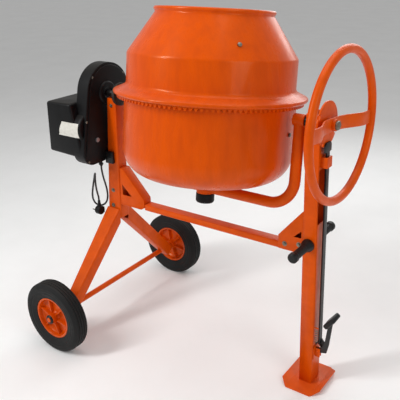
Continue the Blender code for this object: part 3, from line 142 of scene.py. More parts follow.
def finish(name, colour, second, roughness, patch_mm, grain_mm, grain_deep_mm,
           stretch=(1.0, 1.0, 1.0), grain_strength=0.5, dust=0.0, **constants):
    """A material of two close tones in patches, with a fine grain in its surface."""
    material = bpy.data.materials.get(name)
    if material:
        return material
    material = bpy.data.materials.new(name)
    material.use_nodes = True
    tree = material.node_tree
    shader = tree.nodes["Principled BSDF"]
    for socket, value in constants.items():
        shader.inputs[socket.replace("_", " ")].default_value = value
    place = add_node(material, "ShaderNodeTexCoord").outputs["Object"]
    drawn = add_node(material, "ShaderNodeMapping", {"Scale": stretch}, {"Vector": place})
    patches = add_node(material, "ShaderNodeTexNoise",
                       {"Scale": 1000 / patch_mm, "Detail": 5.0, "Roughness": 0.6},
                       {"Vector": drawn.outputs["Vector"]})
    spread = add_node(material, "ShaderNodeMapRange",
                      {"From Min": 0.35, "From Max": 0.65, "To Min": 0.0, "To Max": 1.0},
                      {"Value": patches.outputs["Fac"]})
    tones = add_node(material, "ShaderNodeMix",
                     {"data_type": "RGBA", 6: (*colour, 1.0), 7: (*second, 1.0)},
                     {0: spread.outputs["Result"]})
    tone = tones.outputs[2]
    if dust:
        facing = add_node(material, "ShaderNodeNewGeometry")
        split = add_node(material, "ShaderNodeSeparateXYZ", None,
                         {"Vector": facing.outputs["Normal"]})
        settled = add_node(material, "ShaderNodeMapRange",
                           {"From Min": 0.6, "From Max": 1.0, "To Min": 0.0, "To Max": dust},
                           {"Value": split.outputs["Z"]})
        dusty = add_node(material, "ShaderNodeMix",
                         {"data_type": "RGBA", 7: (*linear("#b9a894"), 1.0)},
                         {0: settled.outputs["Result"], 6: tone})
        tone = dusty.outputs[2]
    tree.links.new(tone, shader.inputs["Base Color"])
    sheen = add_node(material, "ShaderNodeMapRange",
                     {"From Min": 0.3, "From Max": 0.7, "To Min": roughness[0],
                      "To Max": roughness[1]}, {"Value": patches.outputs["Fac"]})
    tree.links.new(sheen.outputs["Result"], shader.inputs["Roughness"])
    grain = add_node(material, "ShaderNodeTexNoise",
                     {"Scale": 1000 / grain_mm, "Detail": 3.0}, {"Vector": place})
    bump = add_node(material, "ShaderNodeBump",
                    {"Strength": grain_strength, "Distance": grain_deep_mm / 1000},
                    {"Height": grain.outputs["Fac"]})
    tree.links.new(bump.outputs["Normal"], shader.inputs["Normal"])
    return material


# The dense orange pigment warms what the coat throws back.
WARM = (*linear("#ffce95"), 1.0)


def drum_enamel():
    # Sprayed gloss enamel on spun sheet steel: a wet coat with soft orange peel 4 mm wide, and
    # faint runs down the wall from rinsing, drawn over four times longer than wide.
    look = bpy.context.scene.mixer_finish
    return finish("sprayed_gloss_enamel_on_drum", look.enamel, look.enamel_deep, (0.24, 0.36),
                  30, 4, 0.12, stretch=(1.0, 1.0, 0.22), grain_strength=0.12, dust=0.02,
                  IOR=1.5, Specular_IOR_Level=0.3, Specular_Tint=WARM, Coat_Weight=0.07,
                  Coat_Roughness=0.1)


def frame_enamel():
    # Powder coat on tube and plate: the same orange, a little duller, with a peel 3 mm wide.
    look = bpy.context.scene.mixer_finish
    return finish("powder_coat_on_steel", look.enamel, look.enamel_deep, (0.30, 0.44),
                  45, 3, 0.12, grain_strength=0.16, dust=0.03,
                  IOR=1.5, Specular_IOR_Level=0.3, Specular_Tint=WARM, Coat_Weight=0.04,
                  Coat_Roughness=0.2)


def case_plastic():
    # Injection-moulded polypropylene: near black, with a spark-eroded grain that is drawn at
    # 1.6 mm, coarser than life, so that it breaks the highlights up.
    look = bpy.context.scene.mixer_finish
    return finish("moulded_polypropylene", look.plastic, linear("#121213"), (0.36, 0.52),
                  60, 1.6, 0.15, grain_strength=0.3, dust=0.02, IOR=1.49,
                  Specular_IOR_Level=0.2)


def grip_vinyl():
    # Dipped soft PVC: black with a slight shine and a smooth skin.
    return finish("dipped_soft_pvc", linear("#0d0d0e"), linear("#141415"), (0.32, 0.46),
                  25, 2.5, 0.1, grain_strength=0.2, IOR=1.52, Specular_IOR_Level=0.3)


def tyre_rubber():
    # Moulded solid rubber: dull charcoal, paler where the mould's release agent has dried.
    look = bpy.context.scene.mixer_finish
    return finish("moulded_tyre_rubber", look.rubber, linear("#181818"), (0.55, 0.74),
                  22, 2.0, 0.2, grain_strength=0.35, dust=0.02, IOR=1.52,
                  Specular_IOR_Level=0.25)


def wheel_plastic():
    # Injection-moulded polypropylene dyed orange: deeper and more even than the enamel.
    look = bpy.context.scene.mixer_finish
    return finish("moulded_orange_polypropylene", look.rim, linear("#c04200"), (0.28, 0.4),
                  40, 2.5, 0.1, grain_strength=0.15, IOR=1.49, Specular_IOR_Level=0.3,
                  Specular_Tint=WARM, Coat_Weight=0.1, Coat_Roughness=0.2)


def zinc_plate():
    # Zinc plate on rolled steel, dulled by weather: grey with a warm passivated cast in patches.
    return finish("weathered_zinc_plate", linear("#8e8b83"), linear("#7b7464"), (0.34, 0.5),
                  9, 1.0, 0.05, grain_strength=0.3, Metallic=1.0)


def drawn_steel():
    # Cold-drawn steel bar: grey, with lines along its length.
    return finish("cold_drawn_steel", linear("#9b9b9c"), linear("#7d7c7a"), (0.26, 0.42),
                  12, 1.0, 0.06, stretch=(0.08, 1.0, 1.0), grain_strength=0.3, Metallic=1.0)


def black_lacquer():
    # Stoved black lacquer on flat bar: satin, rubbed a little grey.
    return finish("stoved_black_lacquer", linear("#111112"), linear("#1e1e1f"), (0.3, 0.48),
                  18, 2.0, 0.12, grain_strength=0.25, IOR=1.5)


def cast_iron():
    # Sand-cast iron: dark grey with a rough skin of 1.5 mm grains.
    return finish("sand_cast_iron", linear("#4a4643"), linear("#38342f"), (0.5, 0.7),
                  10, 1.5, 0.4, grain_strength=0.6, Metallic=0.85)


def motor_alloy():
    # Die-cast aluminium, bead blasted: pale grey and matt.
    return finish("die_cast_aluminium", linear("#a9abad"), linear("#8f9194"), (0.38, 0.52),
                  15, 1.2, 0.1, grain_strength=0.4, Metallic=1.0)


def cord_pvc():
    # Extruded PVC sheath: black, satin, slightly uneven along its length.
    return finish("extruded_pvc_sheath", linear("#131314"), linear("#1c1c1d"), (0.4, 0.52),
                  14, 1.5, 0.08, grain_strength=0.25, IOR=1.53)


def button_plastic(name, colour, second):
    # Moulded polycarbonate: clean colour and a tight shine.
    return finish(name, linear(colour), linear(second), (0.24, 0.32), 8, 1.0, 0.03,
                  grain_strength=0.2, IOR=1.58)


def label_vinyl():
    # Printed-label vinyl left blank: off-white, satin, with a soft ripple 12 mm wide from
    # being smoothed on by hand.
    return finish("blank_label_vinyl", linear("#dcdad2"), linear("#cfccc2"), (0.34, 0.44),
                  12, 12, 0.2, grain_strength=0.2, IOR=1.5)


# ---- Shaping ----------------------------------------------------------------------------------
def eased(points, ease, closed=False):
    """A profile with its corners eased over a length, kept to half of each side."""
    count = len(points)
    done = []
    for i, point in enumerate(points):
        if not closed and i in (0, count - 1):
            done.append(tuple(point))
            continue
        here, before, after = Vector(point), Vector(points[i - 1]), Vector(points[(i + 1) % count])
        back, ahead = before - here, after - here
        if math.pi - back.angle(ahead, math.pi) < math.radians(4):
            done.append(tuple(point))
            continue
        start = here + back.normalized() * min(ease, back.length * 0.48)
        end = here + ahead.normalized() * min(ease, ahead.length * 0.48)
        for step in range(6):
            t = step / 5
            done.append(tuple(start * (1 - t) ** 2 + here * 2 * t * (1 - t) + end * t * t))
    return done


def turned(profile, place=Matrix(), steps=96, closed=False):
    """A profile of (radius, height) spun about the place's Z."""
    work = bmesh.new()
    verts = [work.verts.new((max(radius, 0.0), 0.0, height)) for radius, height in profile]
    ends = verts[1:] + verts[:1] if closed else verts[1:]
    edges = [work.edges.new(pair) for pair in zip(verts, ends)]
    bmesh.ops.spin(work, geom=verts + edges, cent=(0, 0, 0), axis=(0, 0, 1),
                   angle=2 * math.pi, steps=steps, use_merge=True, use_duplicate=False)
    bmesh.ops.remove_doubles(work, verts=work.verts, dist=0.000001)
    bmesh.ops.recalc_face_normals(work, faces=work.faces)
    bmesh.ops.transform(work, matrix=place, verts=work.verts)
    return work


def bar_of(radius, start, end):
    """The profile of a plain round bar between two heights."""
    return [(0, start), (radius, start), (radius, end), (0, end)]


def bush_of(outer, bore, start, end):
    """The closed profile of a plain bush between two heights."""
    return [(outer, start), (outer, end), (bore, end), (bore, start)]


def soften(work, width, segments=3, corner=30, wanted=None):
    """Rounds the outward edges that are sharper than corner, in degrees."""
    work.normal_update()
    least = math.radians(corner)
    edges = [edge for edge in work.edges
             if len(edge.link_faces) == 2 and edge.calc_face_angle_signed(0.0) > least
             and (wanted is None or wanted(edge))]
    bmesh.ops.bevel(work, geom=edges, offset=width, offset_type="OFFSET", segments=segments,
                    profile=0.5, affect="EDGES", clamp_overlap=True, material=-1)
    return work


def block(size, centre, width=0.001, segments=3, place=Matrix()):
    """A box with all its edges rounded."""
    work = bmesh.new()
    bmesh.ops.create_cube(work, size=1.0)
    bmesh.ops.scale(work, vec=size, verts=work.verts)
    bmesh.ops.translate(work, vec=centre, verts=work.verts)
    if width:
        soften(work, width, segments)
    bmesh.ops.transform(work, matrix=place, verts=work.verts)
    return work


def together(first, *others):
    """All the shapes as one."""
    for other in others:
        mesh = bpy.data.meshes.new("shape")
        other.to_mesh(mesh)
        other.free()
        first.from_mesh(mesh)
        bpy.data.meshes.remove(mesh)
    return first


def welded_copy(node):
    """A CAD node's surface as a welded shape with its flat faces whole."""
    work = bmesh.new()
    work.from_mesh(NODES[node].data)
    bmesh.ops.remove_doubles(work, verts=work.verts, dist=0.00001)
    bmesh.ops.dissolve_limit(work, angle_limit=math.radians(1), verts=work.verts,
                             edges=work.edges)
    return work


def piece(name, work, material, nodes=(), body=None, sharp=38):
    """Makes a shape a finished object that rides on a body and stands for CAD nodes."""
    mesh = bpy.data.meshes.new(name)
    work.to_mesh(mesh)
    work.free()
    mesh.shade_smooth()
    mesh.set_sharp_from_angle(angle=math.radians(sharp))
    mesh.materials.append(material)
    obj = bpy.data.objects.new(name, mesh)
    bpy.context.scene.collection.objects.link(obj)
    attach(obj, body or NODES[nodes[0]]["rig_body"])
    if nodes:
        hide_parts(*nodes)
    return obj


def soft_copy(node, material, width=0.001, segments=2, corner=30, wanted=None):
    """Stands for a CAD node of the right shape, with its outward edges rounded."""
    work = soften(welded_copy(node), width, segments, corner, wanted)
    return piece(f"{node}_finished", work, material, (node,))


def repaint(node, material):
    """Gives a CAD node that stays its finish."""
    data = NODES[node].data
    data.materials.clear()
    data.materials.append(material)


def hex_bolt(place, across, head, washer):
    """A hexagon head on a washer, standing up the place's Z: its width, height and washer."""
    thick = 0.0015
    ring = turned(eased(bar_of(washer, 0, thick), 0.0004), steps=32)
    work = bmesh.new()
    radius = across / math.sqrt(3)
    bmesh.ops.create_cone(work, cap_ends=True, segments=6, radius1=radius, radius2=radius,
                          depth=head)
    bmesh.ops.translate(work, vec=(0, 0, thick - 0.0002 + head / 2), verts=work.verts)
    soften(work, 0.0006, 2)
    work = together(ring, work)
    bmesh.ops.transform(work, matrix=place, verts=work.verts)
    return work


def socket_screw(place, radius):
    """A pan head with a socket, standing up the place's Z."""
    floor, top, rim, under = 0.0010, 0.0026, 0.0012, -0.001
    socket, shoulder = radius * 0.4, radius * 0.72
    profile = [(0, floor), (socket, floor), (socket, top), (shoulder, top), (radius, rim),
               (radius, under)]
    return turned(profile, place, 20)


# ---- Sizes and colours that a user may change -----------------------------------------------
class MixerFinish(bpy.types.PropertyGroup):
    enamel: FloatVectorProperty(
        name="Enamel", description="Main tone of the painted steel", subtype="COLOR",
        size=3, min=0, max=1, default=linear("#dd5200"))
    enamel_deep: FloatVectorProperty(
        name="Deep enamel", description="Deeper tone in the painted steel", subtype="COLOR",
        size=3, min=0, max=1, default=linear("#d04a00"))
    plastic: FloatVectorProperty(
        name="Case plastic", description="Tone of the belt and motor covers",
        subtype="COLOR", size=3, min=0, max=1, default=linear("#0b0b0c"))
    rubber: FloatVectorProperty(
        name="Tyre rubber", description="Tone of the tyres", subtype="COLOR", size=3,
        min=0, max=1, default=linear("#101010"))
    rim: FloatVectorProperty(
        name="Wheel plastic", description="Tone of the wheel rims", subtype="COLOR", size=3,
        min=0, max=1, default=linear("#d85000"))


class MixerSizes(bpy.types.PropertyGroup):
    drum_steps: IntProperty(
        name="Drum facets", description="Facets round the drum's sheet", default=128, min=48,
        max=256)
    tube_corner: FloatProperty(
        name="Tube corner", description="Corner radius of the square tubes", default=0.006,
        min=0.001, max=0.010, unit="LENGTH")
    tread_grooves: IntProperty(
        name="Tread grooves", description="Grooves round each tyre", default=4, min=0, max=6)
    groove_width: FloatProperty(
        name="Groove width", description="Width of a groove in the tread", default=0.0032,
        min=0.001, max=0.005, unit="LENGTH")
    rim_ribs: IntProperty(
        name="Rim ribs", description="Ribs on each side of a wheel", default=6, min=3, max=12)
    grip_rings: IntProperty(
        name="Grip rings", description="Raised rings round a handle grip", default=7, min=0,
        max=12)


class MixerStage(bpy.types.PropertyGroup):
    key_power: FloatProperty(
        name="Key light", description="Power of the large soft light", default=62.0, min=0,
        unit="POWER")
    fill_power: FloatProperty(
        name="Fill light", description="Power of the light on the other side", default=20.0,
        min=0, unit="POWER")
    sky: FloatProperty(
        name="Surroundings", description="Brightness of the studio's walls", default=0.42,
        min=0, max=5)


# ---- Stage ----------------------------------------------------------------------------------
# Where the camera stands, how it is turned in degrees, and its lens in millimetres.
VIEW_PLACE = (0.8096, -1.7321, 1.5104)
VIEW_YAW, VIEW_PITCH, VIEW_ROLL = 36.3312, 20.0545, -1.9344
VIEW_LENS, VIEW_SENSOR, VIEW_SHIFT = 55.77, 36, -0.075
FLOOR_HALF = 40.0


class MIXER_OT_stage(bpy.types.Operator):
    """Sets up the camera, the soft lights and the pale floor"""

    bl_idname = "mixer.stage"
    bl_label = "Stage"

    def execute(self, context):
        yaw, pitch, roll = [math.radians(a) for a in (VIEW_YAW, VIEW_PITCH, VIEW_ROLL)]
        ahead = Vector((-math.sin(yaw) * math.cos(pitch), math.cos(yaw) * math.cos(pitch),
                        -math.sin(pitch)))
        right = Vector((math.cos(yaw), math.sin(yaw), 0))
        up = right.cross(ahead)
        across = right * math.cos(roll) + up * math.sin(roll)
        above = up * math.cos(roll) - right * math.sin(roll)
        data = bpy.data.cameras.new("camera")
        data.lens = VIEW_LENS
        data.sensor_width = VIEW_SENSOR
        data.shift_y = VIEW_SHIFT
        data.clip_end = 50
        camera = bpy.data.objects.new("camera", data)
        turn = Matrix((across, above, -ahead)).transposed().to_4x4()
        camera.matrix_world = Matrix.Translation(VIEW_PLACE) @ turn
        context.scene.collection.objects.link(camera)
        context.scene.camera = camera
        self.lights(context)
        self.floor(context)
        return {"FINISHED"}

    def lights(self, context):
        stage = context.scene.mixer_stage
        aim = Vector((DRUM_X, 0, TILT_Z))
        for name, power, spot, size in (
                ("key_light", stage.key_power, (-1.9, -2.3, 2.7), (0.4, 2.0)),
                ("fill_light", stage.fill_power, (2.4, -0.9, 1.9), (1.4, 1.8)),
                ("top_light", stage.fill_power, (-0.4, 0.3, 3.2), (2.2, 1.6)),
                ("back_light", stage.fill_power, (-0.6, 2.6, 2.0), (1.8, 1.4))):
            data = bpy.data.lights.new(name, "AREA")
            data.energy = power
            data.shape = "RECTANGLE"
            data.size, data.size_y = size
            light = bpy.data.objects.new(name, data)
            turn = (aim - Vector(spot)).to_track_quat("-Z", "Y").to_matrix().to_4x4()
            light.matrix_world = Matrix.Translation(spot) @ turn
            context.scene.collection.objects.link(light)
        world = bpy.data.worlds.new("studio")
        world.use_nodes = True
        back = world.node_tree.nodes["Background"]
        back.inputs["Color"].default_value = (*linear("#ffffff"), 1.0)
        back.inputs["Strength"].default_value = stage.sky
        context.scene.world = world
        context.scene.view_settings.view_transform = "Standard"

    def floor(self, context):
        work = bmesh.new()
        bmesh.ops.create_grid(work, x_segments=1, y_segments=1, size=FLOOR_HALF)
        mesh = bpy.data.meshes.new("floor")
        work.to_mesh(mesh)
        work.free()
        # Painted studio board: pale and matt, so that it takes a soft shadow.
        mesh.materials.append(finish("painted_studio_board", linear("#fbfbfa"),
                                     linear("#f7f7f6"), (0.75, 0.85), 400, 40, 0.1,
                                     grain_strength=0.05))
        floor = bpy.data.objects.new("floor", mesh)
        context.scene.collection.objects.link(floor)


# ---- Cord -----------------------------------------------------------------------------------
CORD_R = 0.0038
CORD_ROUTE = [
    (-0.9300, -0.0460, 0.6715), (-0.9300, -0.0460, 0.6570), (-0.9290, -0.0440, 0.6350),
    (-0.9285, -0.0390, 0.6100), (-0.9290, -0.0320, 0.5850), (-0.9300, -0.0260, 0.5600),
    (-0.9330, -0.0220, 0.5330), (-0.9410, -0.0200, 0.5070), (-0.9550, -0.0230, 0.4880),
    (-0.9730, -0.0300, 0.4810), (-0.9900, -0.0380, 0.4880), (-0.9990, -0.0430, 0.5070),
    (-0.9990, -0.0450, 0.5310), (-0.9930, -0.0460, 0.5570), (-0.9850, -0.0470, 0.5830),
    (-0.9760, -0.0490, 0.6070), (-0.9650, -0.0545, 0.6275), (-0.9520, -0.0640, 0.6390),
    (-0.9410, -0.0750, 0.6370), (-0.9345, -0.0825, 0.6220), (-0.9330, -0.0840, 0.6010),
    (-0.9355, -0.0800, 0.5800), (-0.9400, -0.0730, 0.5620), (-0.9450, -0.0655, 0.5470),
    (-0.9490, -0.0595, 0.5340), (-0.9500, -0.0580, 0.5230), (-0.9500, -0.0580, 0.5180),
]


def smooth_route(points, count):
    """Evenly counted points on a smooth curve through the given ones."""
    knots = [Vector(p) for p in points]
    knots = [2 * knots[0] - knots[1], *knots, 2 * knots[-1] - knots[-2]]
    spans = len(points) - 1
    route = []
    for i in range(count):
        at = spans * i / (count - 1)
        first = min(int(at), spans - 1)
        t = at - first
        p0, p1, p2, p3 = knots[first:first + 4]
        route.append(0.5 * (2 * p1 + (p2 - p0) * t + (2 * p0 - 5 * p1 + 4 * p2 - p3) * t * t
                            + (3 * p1 - 3 * p2 + p3 - p0) * t ** 3))
    return route


class MIXER_OT_cord(bpy.types.Operator):
    """Makes the mains lead, its gland, its plug and the clip on the post"""

    bl_idname = "mixer.cord"
    bl_label = "Cord and plug"

    def execute(self, context):
        route = smooth_route(CORD_ROUTE, 150)
        curve = bpy.data.curves.new("mains_lead", "CURVE")
        curve.dimensions = "3D"
        curve.bevel_depth = CORD_R
        curve.bevel_resolution = 6
        curve.use_fill_caps = True
        spline = curve.splines.new("POLY")
        spline.points.add(len(route) - 1)
        for point, place in zip(spline.points, route):
            point.co = (*place, 1.0)
        curve.materials.append(cord_pvc())
        lead = bpy.data.objects.new("mains_lead", curve)
        context.scene.collection.objects.link(lead)
        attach(lead, "frame")
        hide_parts("cord")
        plug = self.plug()
        self.gland()
        self.clip()
        return {"FINISHED"}

    def plug(self):
        end, top = Vector(CORD_ROUTE[-1]), high("plug").z
        relief = [(0, top), (0.0052, top), (0.0058, top - 0.004), (0.0052, top - 0.006),
                  (0.0064, top - 0.009), (0.0058, top - 0.011), (0.0074, top - 0.015),
                  (0.0068, top - 0.017), (0.0088, top - 0.022), (0.009, top - 0.034),
                  (0, top - 0.034)]
        neck = turned(relief, Matrix.Translation((end.x, end.y, 0)), 32)
        body_z = top - 0.042
        body = turned(eased(bar_of(0.0185, -0.013, 0.013), 0.004),
                      along_x(end.x, end.y, body_z), 48)
        ridges = [block((0.0012, 0.030, 0.012), (end.x + 0.0128, end.y, body_z + lift), 0.0005)
                  for lift in (-0.007, 0.007)]
        plug = piece("mains_plug", together(neck, body, *ridges), case_plastic(), ("plug",))
        pins = []
        for side in (-1, 1):
            pin = eased(bar_of(0.0024, -0.031, -0.010), 0.001)
            pins.append(turned(pin, along_x(end.x, end.y + side * 0.0095, body_z), 20))
        pins = piece("plug_pins", together(*pins), zinc_plate(), body="frame")
        pins.parent = plug
        pins.matrix_world = Matrix()
        return plug

    def gland(self):
        x, y, _ = CORD_ROUTE[0]
        under, top = low("cord_gland").z, high("cord_gland").z
        shape = eased([(0, top), (0.006, top), (0.006, under + 0.012), (0.0095, under + 0.012),
                       (0.0095, under + 0.006), (0.0070, under + 0.004), (0.0055, under),
                       (0, under)], 0.0008)
        gland = turned(shape, Matrix.Translation((x, y, 0)), 40)
        piece("gland_finished", gland, grip_vinyl(), ("cord_gland",))

    def clip(self):
        centre, size = middle("cable_clip"), span("cable_clip")
        pad = block(size, centre, 0.003, 4)
        face = low("cable_clip").y
        lip = block((size.x * 0.8, 0.003, 0.006), (centre.x, face + 0.001, centre.z), 0.001)
        piece("cable_clip_finished", together(pad, lip), grip_vinyl(), ("cable_clip",))


# ---- Drum -----------------------------------------------------------------------------------
# Radii from the drum's axis, and heights along it above the tilt axis.
SHEET = 0.003
BOWL_R, BOWL_BOTTOM, BOWL_HOLE_R = 0.300, -0.266, 0.0245
KNUCKLE_R, KNUCKLE_H = 0.095, -0.148
CYLINDER_R, CONE_FOOT_H = 0.2945, 0.180
MOUTH_R, MOUTH_H, BEAD_R = 0.208, 0.335, 0.007
JOINT_H, SKIRT_R, SKIRT_TOP_H, SKIRT_EDGE_R = 0.046, 0.338, 0.078, 0.0075
RING_OUT_R = 0.32525


def arc(centre, radius, start, end, count):
    """Points on an arc, angles in degrees."""
    turns = [math.radians(start + (end - start) * i / (count - 1)) for i in range(count)]
    return [(centre[0] + radius * math.cos(t), centre[1] + radius * math.sin(t)) for t in turns]


class MIXER_OT_drum(bpy.types.Operator):
    """Makes the drum's two spun halves, its gear, paddles, hub and bolts"""

    bl_idname = "mixer.drum"
    bl_label = "Drum"

    def execute(self, context):
        steps = context.scene.mixer_sizes.drum_steps
        self.upper(steps)
        self.lower(steps)
        self.paddles()
        self.bolts()
        repaint("ring_gear", drum_enamel())
        repaint("drum_hub", cast_iron())
        return {"FINISHED"}

    def upper(self, steps):
        mouth = arc((MOUTH_R - BEAD_R, MOUTH_H - BEAD_R), BEAD_R, 225, -50, 16)
        neck = (MOUTH_R - 0.005, MOUTH_H - 0.018)
        inner = CYLINDER_R - SHEET
        edge = (SKIRT_R - SKIRT_EDGE_R, JOINT_H + 0.0015)
        lip = RING_OUT_R + 0.0055
        flange = RING_OUT_R + 0.001
        wall = [neck, (CYLINDER_R, CONE_FOOT_H), (CYLINDER_R, SKIRT_TOP_H),
                (CYLINDER_R + 0.008, SKIRT_TOP_H - 0.0095)]
        skirt = arc(edge, SKIRT_EDGE_R, 62, -80, 10)
        under = [(lip, edge[1] - SKIRT_EDGE_R), (lip, edge[1] + 0.002),
                 (CYLINDER_R + 0.004, SKIRT_TOP_H - 0.014), (CYLINDER_R, SKIRT_TOP_H - 0.010),
                 (CYLINDER_R, JOINT_H + SHEET), (flange, JOINT_H + SHEET), (flange, JOINT_H),
                 (inner, JOINT_H), (inner, CONE_FOOT_H - 0.001),
                 (neck[0] - 0.0025, neck[1] - 0.0017)]
        outside = eased([mouth[-1], *wall, skirt[0]], 0.005)[1:-1]
        profile = mouth + outside + skirt + under
        work = turned(profile, DRUM_AXIS, steps, closed=True)
        piece("drum_upper_sheet", work, drum_enamel(), ("drum_upper",))

    def lower(self, steps):
        def bowl(inset):
            return arc((BOWL_R - KNUCKLE_R, KNUCKLE_H), KNUCKLE_R - inset, 0, -78, 18)
        top = JOINT_H - GAP
        profile = [(BOWL_R, top), *bowl(0), (BOWL_HOLE_R, BOWL_BOTTOM),
                   (BOWL_HOLE_R, BOWL_BOTTOM + SHEET), *reversed(bowl(SHEET)),
                   (BOWL_R - SHEET, top)]
        work = turned(profile, DRUM_AXIS, steps, closed=True)
        piece("drum_lower_sheet", work, drum_enamel(), ("drum_lower",))

    def paddles(self):
        for name in ("paddle_a", "paddle_b"):
            soft_copy(name, drum_enamel(), 0.0012, 2, 50)

    def bolts(self):
        for node in ("bowl_bolt_a", "bowl_bolt_b", "cone_bolt_a", "cone_bolt_b"):
            soft_copy(node, zinc_plate(), 0.0006, 2)


# ---- Yoke -----------------------------------------------------------------------------------
ARM_X, YOKE_TUBE_R, YOKE_BEND_R, YOKE_LOW_H = 0.3515, 0.019, 0.090, -0.291
SLEEVE_R, SLEEVE_LENGTH, BOSS_R, BOSS_LOW_H = 0.0205, 0.040, 0.033, -0.3115
SHAFT_R, SPINDLE_R = 0.010, 0.0125


def loop_of(made):
    """The verts and edges that an extrusion or a spin leaves at its end."""
    return [g for g in made if isinstance(g, (bmesh.types.BMVert, bmesh.types.BMEdge))]


class MIXER_OT_yoke(bpy.types.Operator):
    """Makes the bent tube that carries the drum, and the shafts it turns on"""

    bl_idname = "mixer.yoke"
    bl_label = "Yoke and shafts"

    def execute(self, context):
        self.yoke()
        self.spindle()
        self.shafts()
        return {"FINISHED"}

    def yoke(self):
        work = bmesh.new()
        bmesh.ops.create_circle(work, segments=40, radius=YOKE_TUBE_R)
        bmesh.ops.translate(work, vec=(-ARM_X, 0, 0), verts=work.verts)
        end = loop_of(work.verts[:] + work.edges[:])
        bend_h = YOKE_LOW_H + YOKE_BEND_R
        end = self.pushed(work, end, (0, 0, bend_h))
        end = self.bent(work, end, (-ARM_X + YOKE_BEND_R, 0, bend_h))
        end = self.pushed(work, end, (2 * (ARM_X - YOKE_BEND_R), 0, 0))
        end = self.bent(work, end, (ARM_X - YOKE_BEND_R, 0, bend_h))
        self.pushed(work, end, (0, 0, -bend_h))
        bmesh.ops.holes_fill(work, edges=[e for e in work.edges if e.is_boundary], sides=0)
        bmesh.ops.recalc_face_normals(work, faces=work.faces)
        half = SLEEVE_LENGTH / 2
        sleeve = eased(bush_of(SLEEVE_R, SHAFT_R + GAP, -half, half), 0.0015, closed=True)
        for side in (-1, 1):
            together(work, turned(sleeve, along_x(side * ARM_X, 0, 0), 48, closed=True))
        boss = bush_of(BOSS_R, SPINDLE_R + GAP, BOSS_LOW_H, BOWL_BOTTOM - 0.0045)
        together(work, turned(eased(boss, 0.003, closed=True), steps=64, closed=True))
        bmesh.ops.transform(work, matrix=DRUM_AXIS, verts=work.verts)
        piece("yoke_tube", work, frame_enamel(), ("yoke",))

    def pushed(self, work, end, way):
        made = bmesh.ops.extrude_edge_only(work, edges=[g for g in end
                                                        if isinstance(g, bmesh.types.BMEdge)])
        verts = [g for g in made["geom"] if isinstance(g, bmesh.types.BMVert)]
        bmesh.ops.translate(work, vec=way, verts=verts)
        mine = set(verts)
        edges = [g for g in made["geom"] if isinstance(g, bmesh.types.BMEdge)
                 and mine.issuperset(g.verts)]
        return verts + edges

    def bent(self, work, end, centre):
        made = bmesh.ops.spin(work, geom=end, cent=centre, axis=(0, -1, 0),
                              angle=math.pi / 2, steps=14, use_duplicate=False)
        return loop_of(made["geom_last"])

    def spindle(self):
        under = BOSS_LOW_H - GAP
        cap_r, cap_low = 0.034, -0.346
        inner = cap_r - 0.0035
        shape = [(0, cap_low + SHEET), (inner, cap_low + SHEET), (inner, under),
                 (cap_r - 0.0005, under), (cap_r, cap_low + 0.006), (cap_r - 0.004, cap_low),
                 (0, cap_low)]
        piece("spindle_cap_finished", turned(eased(shape, 0.0012), DRUM_AXIS, 64),
              case_plastic(), ("spindle_cap",))
        repaint("spindle", drawn_steel())

    def shafts(self):
        bar = eased(bar_of(SHAFT_R, low("tilt_shaft").x, high("tilt_shaft").x), 0.0012)
        piece("tilt_shaft_bar", turned(bar, along_x(0, 0, TILT_Z), 48), drawn_steel(),
              ("tilt_shaft",))
        spacer_r, bearing_r = span("tilt_spacer").z / 2, 0.016
        for node, outer, play, ease, material, slot in (
                ("tilt_spacer", spacer_r, GAP, 0.001, grip_vinyl(), "black_cover"),
                ("tilt_bearing", bearing_r, 2 * GAP, 0.0006, drawn_steel(), "bare_steel")):
            tube = eased(bush_of(outer, SHAFT_R + play, low(node).x, high(node).x), ease,
                         closed=True)
            piece(f"{node}_finished", turned(tube, along_x(0, 0, TILT_Z), 48, closed=True),
                  material, (node,))


# ---- Tilt wheel -----------------------------------------------------------------------------
WHEEL_RING_R, WHEEL_TUBE_R = 0.2355, 0.014
WHEEL_RING_X, WHEEL_HUB_X, WHEEL_HUB_R, HUB_HALF = 0.0857, 0.052, 0.019, 0.013
STRAP_THICK, STRAP_HALF = 0.005, 0.0225
# The strap is flat this far from the hub, and then bends out to the ring over a length.
STRAP_FLAT, STRAP_BEND = 0.045, 0.13
WHEEL_TURN = math.radians(2.5)


